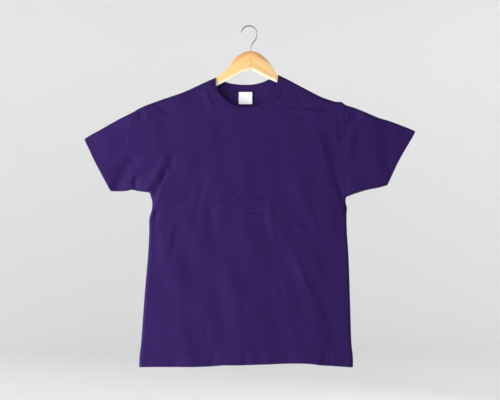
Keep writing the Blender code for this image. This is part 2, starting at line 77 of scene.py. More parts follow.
# Outline from the front. Columns: x, z
TOP_LEFT: Path = (
    (-88, -135.5), (-102, -141.5), (-134, -156), (-176, -175), (-240, -197), (-284, -214),
    (-309, -228), (-346, -246.5), (-389, -270.7), (-427, -292), (-436.5, -299.2),
)
TOP_RIGHT: Path = (
    (78, -128.5), (110, -144.4), (163, -172.5), (195, -188), (227, -198.8), (246, -200.6), (256, -208),
    (280, -215.7), (311, -228), (343, -241.7), (375, -251.5), (417, -267.4), (440.7, -277.5),
)
CUFF_LEFT: Path = ((-366, -437), (-387, -398), (-409.4, -355.6), (-430, -312), (-436.5, -299.2))
CUFF_RIGHT: Path = (
    (366, -421.5), (376.6, -398), (397, -355.6), (421.4, -313.2), (434, -292), (440.7, -277.5),
)
UNDER_LEFT: Path = (
    (-366, -437), (-345, -437.5), (-324.6, -436.5), (-311, -433.5), (-292.8, -437), (-263.5, -441),
)
UNDER_RIGHT: Path = ((257.5, -453), (279.6, -444.4), (311.4, -434.5), (343.2, -427.9), (366, -421.5))
SIDE_LEFT: Path = (
    (-291.5, -902.5), (-290.5, -875), (-285.7, -832), (-278, -726), (-268.2, -610), (-264.7, -546),
    (-264.3, -510), (-258, -486), (-257, -465), (-263.5, -441),
)
SIDE_RIGHT: Path = (
    (275.8, -903), (275.6, -875), (271.4, -832), (268.2, -726), (264.2, -610), (260, -546), (259, -504),
    (260, -483), (256.5, -465), (257.5, -453),
)
HEM: Path = (
    (-291.5, -902.5), (-250, -901.7), (-134, -901.5), (-91, -899.5), (-70, -897.3), (-28, -897.3),
    (46, -895), (99, -893), (152, -892.9), (195, -897.8), (248, -901.2), (275.8, -903),
)
ARMHOLE_LEFT: Path = ((-265, -400), (-267, -350), (-268.5, -300), (-273, -255))
ARMHOLE_RIGHT: Path = ((258.5, -415), (260, -360), (259, -300), (254, -250))
SHOULDER_SEAM_LEFT = (-284, -214)
SHOULDER_SEAM_RIGHT = (256, -208)
BAND_EDGE_FRONT: Path = (
    (-88, -148), (-86.5, -160), (-79.5, -175.5), (-67, -189.5), (-52, -202), (-36, -210.5), (-19, -214.5),
    (-3, -215), (14, -212.8), (30, -207.5), (45, -199), (58, -187), (67.5, -173), (72.5, -157.5), (75, -143),
)
BAND_SEAM_FRONT: Path = (
    (-104, -155), (-101.5, -172), (-93, -190), (-78, -207.5), (-60, -220), (-40, -227.7), (-18, -230.7),
    (-3, -231), (17, -228.7), (37, -222.7), (55.5, -212.5), (71.5, -198.5), (82.5, -182), (89.5, -163),
    (92, -150),
)
BAND_EDGE_BACK: Path = (
    (-70, -143.8), (-49, -150), (-28, -152.8), (-7, -153.6), (15, -152), (36, -146.8), (57, -137.8),
)
BAND_SEAM_BACK: Path = (
    (-80, -157.5), (-55, -166.5), (-30, -170.8), (-4, -172), (22, -170), (47, -162.5), (72, -150),
)


@dataclass(frozen=True)
class Crease:
    """A soft ridge, or with a negative height a trough, along a line on the cloth.

    left and right are its half widths beside a line that runs down; beside a line that runs to the right,
    they lie below and above it. fade_in and fade_out are the shares of the line over which it starts and
    dies out. A pressed one runs straight, where the others waver a little.
    """

    path: Path
    height: float
    left: float
    right: float
    fade_in: float = 0.35
    fade_out: float = 0.35
    pressed: bool = False


FRONT_CREASES: tuple[Crease, ...] = (
    # Long diagonal on the right of the body, steep on its right flank, with a soft start above it
    Crease(((70, -520), (84, -548), (102, -587), (121, -619), (140, -656), (158, -690), (174, -725),
            (188, -760), (201, -792), (210, -824)), 0.8, 16, 8, 0.2, 0.6),
    Crease(((98, -548), (117, -587), (136, -619), (155, -656), (173, -690), (189, -725), (203, -760),
            (217, -800)), -0.3, 5, 12, 0.3, 0.5),
    Crease(((48, -442), (54, -487), (59, -527), (70, -562), (88, -600)), 1.6, 10, 8, 0.25, 0.4),
    Crease(((66, -456), (71, -492), (78, -526)), -0.8, 5, 10, 0.3, 0.4),
    Crease(((134, -640), (150, -672), (164, -706)), 1.2, 4, 3, 0.4, 0.4),
    # Shorter one above it, and the mark beside its top
    Crease(((126, -396), (140, -432), (158, -476), (172, -520), (186, -584)), 0.6, 18, 8, 0.3, 0.5),
    Crease(((134, -398), (150, -436), (168, -480), (182, -522), (198, -580)), -0.3, 5, 10, 0.3, 0.5),
    Crease(((166, -374), (176, -396), (188, -424)), -1.0, 12, 12, 0.3, 0.5),
    # Beside the right armhole, down to the underarm: narrow above, deep below
    Crease(((196, -240), (210, -284), (223, -322), (229, -360), (232, -392), (235, -420), (243, -447),
            (252, -474), (260, -496)), -1.2, 8, 16, 0.35, 0.0),
    Crease(((233, -410), (244, -446), (260, -494)), -2.6, 6, 14, 0.4, 0.0),
    Crease(((206, -282), (226, -330), (236, -372), (244, -420)), 0.8, 9, 8, 0.4, 0.3),
    Crease(((172, -262), (190, -310), (206, -356), (212, -400)), 1.4, 14, 8, 0.4, 0.4),
    Crease(((252, -226), (256, -330), (262, -440)), -3.0, 34, 60, 0.2, 0.2),
    Crease(((228, -222), (238, -250), (244, -286), (236, -330)), -1.0, 7, 9, 0.2, 0.5),
    Crease(((228, -234), (231, -290), (228, -330)), 0.5, 8, 6, 0.3, 0.5),
    # Across the right shoulder, meeting near the seam
    Crease(((84, -222), (120, -224), (150, -225), (176, -226), (212, -234)), 3.2, 4.5, 7, 0.35, 0.25),
    Crease(((74, -202), (104, -201), (140, -204)), 1.6, 6, 6, 0.4, 0.4),
    Crease(((134, -184), (160, -198), (190, -212), (218, -224)), -0.8, 8, 7, 0.3, 0.2),
    Crease(((130, -190), (152, -202), (184, -210)), 1.2, 4, 9, 0.3, 0.3),
    Crease(((162, -184), (196, -200), (226, -214)), 0.8, 5, 7, 0.3, 0.3),
    Crease(((112, -226), (160, -230), (206, -238)), 1.1, 9, 7, 0.4, 0.4),
    # Armpit fold on the left: a ridge, a wedge that widens to the underarm, and fine lines beside it
    Crease(((-232, -366), (-243, -390), (-257, -414), (-275, -440)), 4.2, 12, 10, 0.35, 0.0),
    Crease(((-217, -366), (-221, -392), (-233, -421), (-249, -446), (-262, -468)), -4.2, 10, 5, 0.35, 0.0),
    Crease(((-206, -378), (-216, -406), (-232, -434), (-244, -462)), 0.8, 6, 12, 0.3, 0.1),
    Crease(((-208, -336), (-205, -362), (-206, -396)), -1.2, 9, 7, 0.3, 0.4),
    Crease(((-236, -440), (-243, -460), (-249, -482)), 1.2, 5, 6, 0.3, 0.3),
    # On the left sleeve: broad trough, pit at the underside, folds near the seam, line along the underside
    Crease(((-284, -334), (-303, -356), (-325, -386), (-345, -418), (-356, -444)), -5.0, 17, 20, 0.3, 0.0),
    Crease(((-289, -390), (-295, -402), (-303, -418), (-300, -434)), -4.6, 6.5, 8, 0.3, 0.0),
    Crease(((-237, -373), (-259, -384), (-281, -393), (-294, -401)), -2.4, 4.5, 4.5, 0.3, 0.2),
    Crease(((-236, -381), (-262, -402), (-281, -416)), 0.5, 8, 8, 0.3, 0.3),
    Crease(((-362, -429), (-345, -431), (-325, -430), (-311, -427), (-293, -430), (-268, -434)),
           -0.8, 2.2, 2.2, 0.15, 0.15),
    Crease(((-292, -222), (-290, -240), (-283, -258)), -3.0, 6, 11, 0.1, 0.4),
    Crease(((-284, -228), (-278, -246), (-272, -262)), 0.2, 6, 6, 0.3, 0.5),
    Crease(((-312, -236), (-310, -256), (-304, -276)), 1.2, 7, 5, 0.3, 0.5),
    Crease(((-328, -276), (-328, -300), (-332, -326)), -1.2, 8, 8, 0.4, 0.4),
    Crease(((-352, -276), (-362, -312), (-378, -346)), 0.9, 14, 12, 0.4, 0.4),
    # On the right sleeve: fold under the shoulder seam, and soft ones below
    Crease(((298, -230), (279, -238), (267, -250), (261, -274), (263, -312)), -3.2, 11, 12, 0.15, 0.4),
    Crease(((304, -242), (290, -250), (284, -266), (282, -300)), 0.5, 8, 8, 0.3, 0.5),
    Crease(((318, -238), (350, -252), (390, -266)), -1.0, 7, 7, 0.4, 0.4),
    Crease(((290, -252), (298, -276), (304, -306)), 0.9, 9, 8, 0.3, 0.5),
    Crease(((254, -398), (258, -424), (260, -452)), -1.2, 5, 14, 0.3, 0.0),
    Crease(((272, -392), (288, -412), (300, -432)), 0.3, 8, 7, 0.3, 0.2),
    Crease(((330, -330), (350, -372), (362, -410)), 1.0, 14, 12, 0.4, 0.4),
    Crease(((350, -340), (366, -372), (378, -396)), -0.9, 9, 9, 0.4, 0.4),
    Crease(((264, -444), (280, -438), (312, -428), (343, -421), (362, -416)), -0.7, 2.2, 2.2, 0.15, 0.15),
    # From the notch at the left side inwards
    Crease(((-256, -493), (-236, -490), (-206, -484), (-164, -468)), -3.2, 13, 5, 0.1, 0.5),
    Crease(((-262, -507), (-246, -500), (-230, -495)), -2.6, 8, 8, 0.0, 0.6),
    Crease(((-250, -476), (-214, -462), (-176, -452)), 1.2, 8, 9, 0.1, 0.6),
    Crease(((-196, -504), (-203, -540), (-210, -570), (-222, -616)), 1.5, 14, 7, 0.3, 0.4),
    Crease(((-184, -506), (-192, -545), (-200, -580), (-212, -618)), -0.5, 5, 10, 0.3, 0.4),
    Crease(((-236, -520), (-232, -560), (-238, -610)), 1.2, 10, 8, 0.4, 0.5),
    Crease(((-238, -486), (-246, -510), (-252, -540)), -1.2, 7, 7, 0.3, 0.5),
    # Short uprights and a slanted line across the chest
    Crease(((-108, -404), (-112, -440), (-120, -480)), 1.5, 7, 5, 0.4, 0.3),
    Crease(((-115, -474), (-118, -520), (-122, -580)), 0.7, 9, 7, 0.3, 0.5),
    Crease(((-140, -480), (-146, -520), (-150, -560)), -1.0, 6, 6, 0.4, 0.5),
    Crease(((-72, -466), (-80, -500), (-84, -532), (-86, -584)), 0.2, 8, 8, 0.3, 0.4),
    Crease(((-98, -486), (-100, -520), (-104, -560)), -0.4, 7, 7, 0.3, 0.5),
    Crease(((-20, -470), (-17, -510), (-20, -560)), 0.7, 9, 8, 0.3, 0.5),
    Crease(((-44, -470), (-42, -500), (-44, -540)), -0.4, 6, 6, 0.3, 0.5),
    Crease(((-118, -485), (-94, -477), (-70, -467), (-46, -457)), -2.2, 7, 3.5, 0.25, 0.3),
    Crease(((-52, -452), (-34, -458), (-24, -472)), 1.2, 6, 5, 0.4, 0.4),
    Crease(((-100, -462), (-78, -452), (-56, -444)), 0.5, 6, 6, 0.4, 0.4),
    # Packing creases
    Crease(((-10, -458), (16, -457.5), (40, -457)), 2.6, 4.5, 2.8, 0.2, 0.2, True),
    Crease(((-26, -498), (6, -498), (38, -498)), 2.4, 4.5, 2.8, 0.2, 0.2, True),
    Crease(((78, -492), (100, -492), (118, -492)), 1.0, 4.5, 2.8, 0.3, 0.3, True),
    Crease(((95, -529), (124, -529), (153, -529)), 3.2, 4.5, 2.8, 0.12, 0.12, True),
    # Left shoulder
    Crease(((-253, -201), (-233, -214), (-207, -225), (-191, -239)), -2.2, 7, 7, 0.2, 0.4),
    Crease(((-250, -220), (-226, -236), (-204, -248)), 0.8, 7, 6, 0.3, 0.5),
    Crease(((-236, -202), (-212, -214), (-180, -226)), 0.6, 7, 7, 0.4, 0.5),
    Crease(((-248, -262), (-246, -310), (-250, -352)), 0.5, 9, 9, 0.4, 0.4),
    Crease(((-232, -270), (-228, -312), (-226, -352)), -0.3, 9, 9, 0.4, 0.4),
    # Beside the neckband
    Crease(((-118, -158), (-110, -190), (-90, -222)), 1.1, 8, 6, 0.4, 0.4),
    Crease(((-134, -172), (-122, -204), (-104, -234)), -0.8, 8, 8, 0.4, 0.4),
    Crease(((96, -196), (118, -206), (150, -212)), 0.8, 7, 7, 0.4, 0.4),
    # Lower body and hem
    Crease(((128, -720), (136, -744), (142, -768)), -0.6, 6, 7, 0.3, 0.4),
    Crease(((114, -764), (128, -800), (144, -830), (160, -860)), -0.6, 7, 7, 0.3, 0.4),
    Crease(((104, -760), (116, -798), (132, -832)), 0.4, 8, 7, 0.4, 0.4),
    Crease(((84, -686), (84, -704), (88, -724)), -1.1, 6, 6, 0.4, 0.4),
    Crease(((70, -684), (71, -706), (75, -730)), 0.8, 7, 5, 0.4, 0.4),
    Crease(((-14, -724), (-14, -742), (-18, -764)), -1.0, 6, 6, 0.4, 0.4),
    Crease(((-114, -780), (-112, -800), (-120, -822)), -0.9, 7, 7, 0.4, 0.4),
    Crease(((-232, -760), (-224, -776), (-230, -796)), -0.7, 8, 8, 0.4, 0.4),
    Crease(((76, -800), (84, -830), (92, -872)), -0.5, 8, 8, 0.4, 0.3),
    Crease(((-60, -640), (-40, -690), (-36, -760)), 0.7, 20, 16, 0.5, 0.5),
    Crease(((-180, -620), (-196, -700), (-190, -790)), 0.9, 26, 22, 0.5, 0.5),
    Crease(((30, -560), (46, -620), (44, -690)), 0.7, 18, 14, 0.5, 0.5),
    Crease(((-92, -904), (-93, -880), (-94, -850)), -1.8, 9, 11, 0.0, 0.5),
    Crease(((-9, -900), (-10, -880), (-11, -852)), -2.0, 8, 9, 0.0, 0.5),
    Crease(((107, -896), (105, -876), (99, -840)), -1.7, 11, 11, 0.0, 0.5),
    Crease(((198, -900), (198, -880), (196, -852)), -1.8, 7, 8, 0.0, 0.5),
    Crease(((216, -904), (214, -886), (206, -858)), -1.8, 8, 10, 0.0, 0.5),
    Crease(((-196, -904), (-194, -880), (-198, -850)), -1.2, 12, 10, 0.0, 0.6),
    Crease(((-150, -902), (-150, -878), (-152, -840)), 1.5, 14, 14, 0.0, 0.6),
    Crease(((-60, -900), (-60, -880), (-58, -852)), 1.5, 13, 13, 0.0, 0.6),
    Crease(((50, -898), (50, -878), (48, -850)), 1.4, 13, 13, 0.0, 0.6),
    Crease(((150, -896), (148, -876), (146, -852)), 1.2, 12, 12, 0.0, 0.6),
)
BACK_CREASES: tuple[Crease, ...] = (
    Crease(((-206, -462), (-176, -520), (-128, -598), (-84, -690), (-56, -790)), 3.6, 10, 24, 0.3, 0.4),
    Crease(((-190, -480), (-160, -535), (-110, -612), (-66, -700)), -1.6, 8, 14, 0.4, 0.4),
    Crease(((228, -466), (196, -526), (158, -596), (128, -726)), 3.2, 22, 9, 0.3, 0.4),
    Crease(((206, -470), (176, -532), (140, -602), (112, -700)), -1.5, 14, 8, 0.4, 0.4),
    Crease(((-258, -486), (-226, -440), (-208, -392), (-200, -330)), -3.0, 10, 10, 0.0, 0.5),
    Crease(((-244, -500), (-206, -452), (-186, -400)), 1.8, 9, 9, 0.1, 0.5),
    Crease(((256, -486), (222, -438), (202, -390), (190, -330)), -3.0, 10, 10, 0.0, 0.5),
    Crease(((240, -502), (204, -450), (182, -396)), 1.8, 9, 9, 0.1, 0.5),
    Crease(((-46, -400), (-22, -470), (8, -590), (2, -720)), 2.2, 18, 12, 0.4, 0.4),
    Crease(((40, -430), (56, -500), (74, -600), (66, -680)), 1.5, 14, 10, 0.4, 0.4),
    Crease(((-120, -250), (-60, -262), (10, -258), (90, -246)), -1.0, 12, 10, 0.4, 0.4),
    Crease(((-170, -210), (-120, -232), (-60, -240)), 1.2, 9, 8, 0.3, 0.5),
    Crease(((160, -204), (112, -230), (50, -240)), 1.2, 9, 8, 0.3, 0.5),
    Crease(((-262, -500), (-230, -492), (-180, -500)), -1.8, 8, 8, 0.0, 0.6),
    Crease(((262, -500), (228, -494), (176, -504)), -1.8, 8, 8, 0.0, 0.6),
    Crease(((-40, -540), (-4, -542), (36, -539)), -0.8, 3.6, 3.6, 0.3, 0.3),
    Crease(((-140, -512), (-100, -510), (-64, -513)), -0.8, 3.6, 3.6, 0.3, 0.3),
    Crease(((-234, -600), (-226, -680), (-236, -770)), 1.4, 16, 12, 0.4, 0.4),
    Crease(((-292, -330), (-326, -372), (-356, -428)), -2.8, 12, 11, 0.4, 0.1),
    Crease(((-276, -350), (-300, -392), (-318, -436)), 2.2, 9, 9, 0.4, 0.1),
    Crease(((-300, -240), (-296, -270), (-302, -306)), 1.2, 8, 7, 0.3, 0.5),
    Crease(((-340, -270), (-356, -310), (-380, -346)), 0.9, 14, 14, 0.4, 0.4),
    Crease(((264, -226), (270, -270), (266, -330)), 1.6, 8, 8, 0.2, 0.5),
    Crease(((262, -404), (292, -412), (330, -400)), -1.6, 8, 8, 0.2, 0.5),
    Crease(((300, -300), (330, -350), (346, -412)), 1.8, 12, 12, 0.4, 0.3),
    Crease(((350, -270), (366, -310), (384, -340)), 0.9, 14, 12, 0.4, 0.4),
    Crease(((226, -610), (216, -690), (222, -780)), 1.4, 12, 16, 0.4, 0.4),
    Crease(((-30, -700), (-44, -760), (-38, -826)), 1.0, 12, 12, 0.4, 0.4),
    Crease(((-150, -904), (-148, -878), (-152, -840)), -1.6, 10, 9, 0.0, 0.6),
    Crease(((-66, -900), (-66, -874), (-62, -836)), -1.3, 9, 9, 0.0, 0.6),
    Crease(((34, -898), (35, -872), (38, -832)), -1.5, 9, 10, 0.0, 0.6),
    Crease(((128, -896), (130, -872), (126, -838)), -1.4, 9, 9, 0.0, 0.6),
    Crease(((214, -902), (212, -878), (216, -846)), -1.2, 10, 9, 0.0, 0.6),
)


def smoothstep(low: float, high: float, value: np.ndarray) -> np.ndarray:
    """Ease from 0 at low to 1 at high.

    Args:
        low: Where the change starts.
        high: Where it ends; it may be the smaller one.
        value: Numbers to ease.

    Returns:
        The eased numbers.
    """
    t = np.clip((np.asarray(value, float) - low) / (high - low), 0.0, 1.0)
    return t * t * (3 - 2 * t)


def bell(distance: np.ndarray, width: np.ndarray | float) -> np.ndarray:
    """Fall softly from 1 on a line to almost 0 at two widths from it."""
    return np.exp(-((distance / width) ** 2))


@dataclass
class Curve:
    """A smooth curve through points of the front plane, measured along its length.

    steps are its pieces from one knot to the next, and glance is the share of its length that is looked
    ahead and back to find its direction.
    """

    knots: Sequence[tuple[float, float]]
    steps: int = 14
    glance: float = 0.004
    points: Points = field(init=False)
    marks: np.ndarray = field(init=False)

    def __post_init__(self) -> None:
        """Run a smooth line through the knots."""
        knots = np.array([tuple(knot) for knot in self.knots], float)
        ends = np.vstack([knots[:1], knots, knots[-1:]])
        t = (np.arange(self.steps) / self.steps)[:, None]
        parts = []
        for before, start, end, after in zip(ends, ends[1:], ends[2:], ends[3:]):
            bend = 2 * before - 5 * start + 4 * end - after
            twist = 3 * start - before - 3 * end + after
            parts.append((2 * start + (end - before) * t + bend * t**2 + twist * t**3) / 2)
        self.points = np.vstack([*parts, knots[-1:]])
        lengths = np.hypot(*np.diff(self.points, axis=0).T)
        self.marks = np.concatenate([[0.0], np.cumsum(lengths)])

    @property
    def length(self) -> float:
        """Length from end to end."""
        return float(self.marks[-1])

    def at(self, shares: np.ndarray | float) -> Points:
        """Points at shares of the length, 0 to 1."""
        target = np.clip(shares, 0.0, 1.0) * self.length
        return np.stack([np.interp(target, self.marks, self.points[:, axis]) for axis in (0, 1)], -1)

    def part(self, start: float, end: float) -> Border:
        """A border that runs between two shares of the curve."""
        return lambda shares: self.at(start + (end - start) * np.asarray(shares, float))

    def beside(self, inset: float, ends: tuple[float, float], shares: np.ndarray) -> Points:
        """Find points of a line that runs beside the curve.

        Args:
            inset: How far above a curve that runs right the line lies; below it where negative.
            ends: Shares of the curve between which the line runs.
            shares: Where the points lie along the line, 0 to 1.

        Returns:
            The points.
        """
        place = ends[0] + (ends[1] - ends[0]) * np.asarray(shares, float)
        ahead = self.at(place + self.glance) - self.at(place - self.glance)
        ahead /= np.hypot(ahead[..., 0], ahead[..., 1])[..., None]
        return self.at(place) + inset * np.stack([-ahead[..., 1], ahead[..., 0]], -1)

    def height_at(self, x: float) -> float:
        """z of the curve above or below x."""
        order = np.argsort(self.points[:, 0])
        return float(np.interp(x, self.points[order, 0], self.points[order, 1]))

    def nearest(self, points: Points, reach: float = math.inf) -> tuple[np.ndarray, np.ndarray]:
        """Find how points lie beside the curve.

        Args:
            points: Points of the front plane.
            reach: Points further away than this are left at an endless distance.

        Returns:
            Distances, above 0 on the right of a line that runs down, and shares of the length.
        """
        distance = np.full(len(points), np.inf)
        share = np.zeros(len(points))
        low, high = self.points.min(0) - reach, self.points.max(0) + reach
        close = np.flatnonzero(((points >= low) & (points <= high)).all(1))
        local, best = points[close], np.full(len(close), np.inf)
        signed, along = np.full(len(close), np.inf), np.zeros(len(close))
        for index, (start, end) in enumerate(zip(self.points, self.points[1:])):
            span, offset = end - start, local - start
            t = np.clip(offset @ span / (span @ span), 0.0, 1.0)
            gap = np.hypot(*(offset - t[:, None] * span).T)
            cross = span[0] * offset[:, 1] - span[1] * offset[:, 0]
            nearer = gap < best
            best[nearer] = gap[nearer]
            signed[nearer] = np.where(cross < 0, -gap, gap)[nearer]
            along[nearer] = (self.marks[index] + t * math.sqrt(span @ span))[nearer]
        distance[close], share[close] = signed, along / self.length
        return distance, share


def line(start: Points, end: Points) -> Border:
    """A straight border between two points."""
    return lambda shares: start + (end - start) * np.asarray(shares, float)[..., None]


def backwards(border: Border) -> Border:
    """The same border, run from its other end."""
    return lambda shares: border(1 - np.asarray(shares))


def both(left: Path, right: Path) -> dict[Hand, Curve]:
    """Curves through the tables of the two halves."""
    return {Hand.LEFT: Curve(left), Hand.RIGHT: Curve(right)}


@dataclass(frozen=True)
class Joined:
    """Borders set one after the other, each with its own range of shares."""

    splits: Sequence[float]
    borders: Sequence[Border]

    def __call__(self, shares: np.ndarray) -> Points:
        """Find points of the border that holds each share.

        Args:
            shares: Where the points lie, 0 to 1.

        Returns:
            The points.
        """
        marks = [0.0, *self.splits, 1.0]
        shares = np.asarray(shares, float)
        points = np.zeros((*shares.shape, 2))
        for start, end, border in zip(marks, marks[1:], self.borders):
            held = (shares >= start) & (shares <= end)
            points[held] = border((shares[held] - start) / (end - start))
        return points


def spread(count: int, length: float, first: Sequence[float] = (),
           last: Sequence[float] = ()) -> list[float]:
    """Shares of a length.

    Args:
        count: Even steps in its middle.
        length: The length in millimetres.
        first: Distances from its start that get a row of their own.
        last: The same from its end.

    Returns:
        The shares from 0 to 1.
    """
    near = [inset / length for inset in first]
    far = [1 - inset / length for inset in reversed(last)]
    start, end = near[-1] if near else 0.0, far[0] if far else 1.0
    middle = [start + (end - start) * step / count for step in range(1, count)]
    return [0.0, *near, *middle, *far, 1.0]


def chained(splits: Sequence[float], *lists: Sequence[float]) -> list[float]:
    """Set lists of shares one after the other.

    Args:
        splits: Shares at which one list ends and the next one starts.
        lists: The lists in order, each from 0 to 1.

    Returns:
        One list from 0 to 1.
    """
    marks, shares = [0.0, *splits, 1.0], [0.0]
    for start, end, inner in zip(marks, marks[1:], lists):
        shares.extend(start + (end - start) * share for share in inner[1:])
    return shares


def patch(bottom: Border, top: Border, left: Border, right: Border,
          columns: Sequence[float], rows: Sequence[float]) -> np.ndarray:
    """Fill the space between four borders with a grid.

    Args:
        bottom: Border that runs right.
        top: Border that runs right.
        left: Border that runs up.
        right: Border that runs up.
        columns: Shares along bottom and top.
        rows: Shares along left and right.

    Returns:
        Points of the front plane, as rows of columns.
    """
    u, v = np.array(columns)[None, :, None], np.array(rows)[:, None, None]
    low, high = bottom(np.array(columns))[None], top(np.array(columns))[None]
    near, far = left(np.array(rows))[:, None], right(np.array(rows))[:, None]
    lower, upper = low[:, :1] * (1 - u) + low[:, -1:] * u, high[:, :1] * (1 - u) + high[:, -1:] * u
    return low * (1 - v) + high * v + near * (1 - u) + far * u - lower * (1 - v) - upper * v


@dataclass
class Pattern:
    """The shirt's outline and seams, laid out in the front plane, and its sewing allowances."""

    band_width: float = 16.5
    yoke: float = 0.62
    neck_corner: float = 0.23
    front_split: tuple[float, float] = (0.335, 0.665)
    back_split: tuple[float, float] = (0.335, 0.70)

    def __post_init__(self) -> None:
        """Lay out the curves and find where the seams meet them."""
        self.top = both(TOP_LEFT, TOP_RIGHT)
        self.under = both(UNDER_LEFT, UNDER_RIGHT)
        self.side = both(SIDE_LEFT, SIDE_RIGHT)
        self.cuff = both(CUFF_LEFT, CUFF_RIGHT)
        self.hem = Curve(HEM)
        self.band_share = {hand: self.band_width / self.top[hand].length for hand in Hand}
        corners = {Hand.LEFT: SHOULDER_SEAM_LEFT, Hand.RIGHT: SHOULDER_SEAM_RIGHT}
        self.seam_share = {}
        self.shoulder = {}
        for hand, corner in corners.items():
            top = self.top[hand]
            self.seam_share[hand] = float(top.nearest(np.array([corner], float))[1][0])
            shares = (self.seam_share[hand], self.band_share[hand])
            self.shoulder[hand] = top.part(*(shares if hand is Hand.LEFT else shares[::-1]))
        self.underarm = {hand: self.side[hand].at(1.0) for hand in Hand}
        self.underarm_line = line(self.underarm[Hand.LEFT], self.underarm[Hand.RIGHT])
        self.armhole_knots = {Hand.LEFT: ARMHOLE_LEFT, Hand.RIGHT: ARMHOLE_RIGHT}
        self.armhole = {}
        for hand, knots in self.armhole_knots.items():
            shoulder_point = self.top[hand].at(self.seam_share[hand])
            self.armhole[hand] = Curve((self.underarm[hand], *knots, shoulder_point))
        ends = [self.top[hand].at(self.band_share[hand]) for hand in Hand]
        tips = [self.top[hand].at(0.0) for hand in Hand]
        self.neck_seam = {
            Side.FRONT: Curve((ends[0], *BAND_SEAM_FRONT, ends[1])),
            Side.BACK: Curve((ends[0], *BAND_SEAM_BACK, ends[1])),
        }
        self.neck_edge = {
            Side.FRONT: Curve((tips[0], *BAND_EDGE_FRONT, tips[1])),
            Side.BACK: Curve((tips[0], *BAND_EDGE_BACK, tips[1])),
        }

    def inset(self, points: Points, reach: float) -> np.ndarray:
        """Distance from points to the folded outline, up to a reach."""
        curves = (*self.top.values(), *self.under.values(), *self.side.values())
        return np.min([np.abs(curve.nearest(points, reach)[0]) for curve in curves], axis=0)


@dataclass(frozen=True)
class Fold:
    """One of the largest folds: a wide ridge or trough through three points."""

    path: Path
    width: float
    height: float


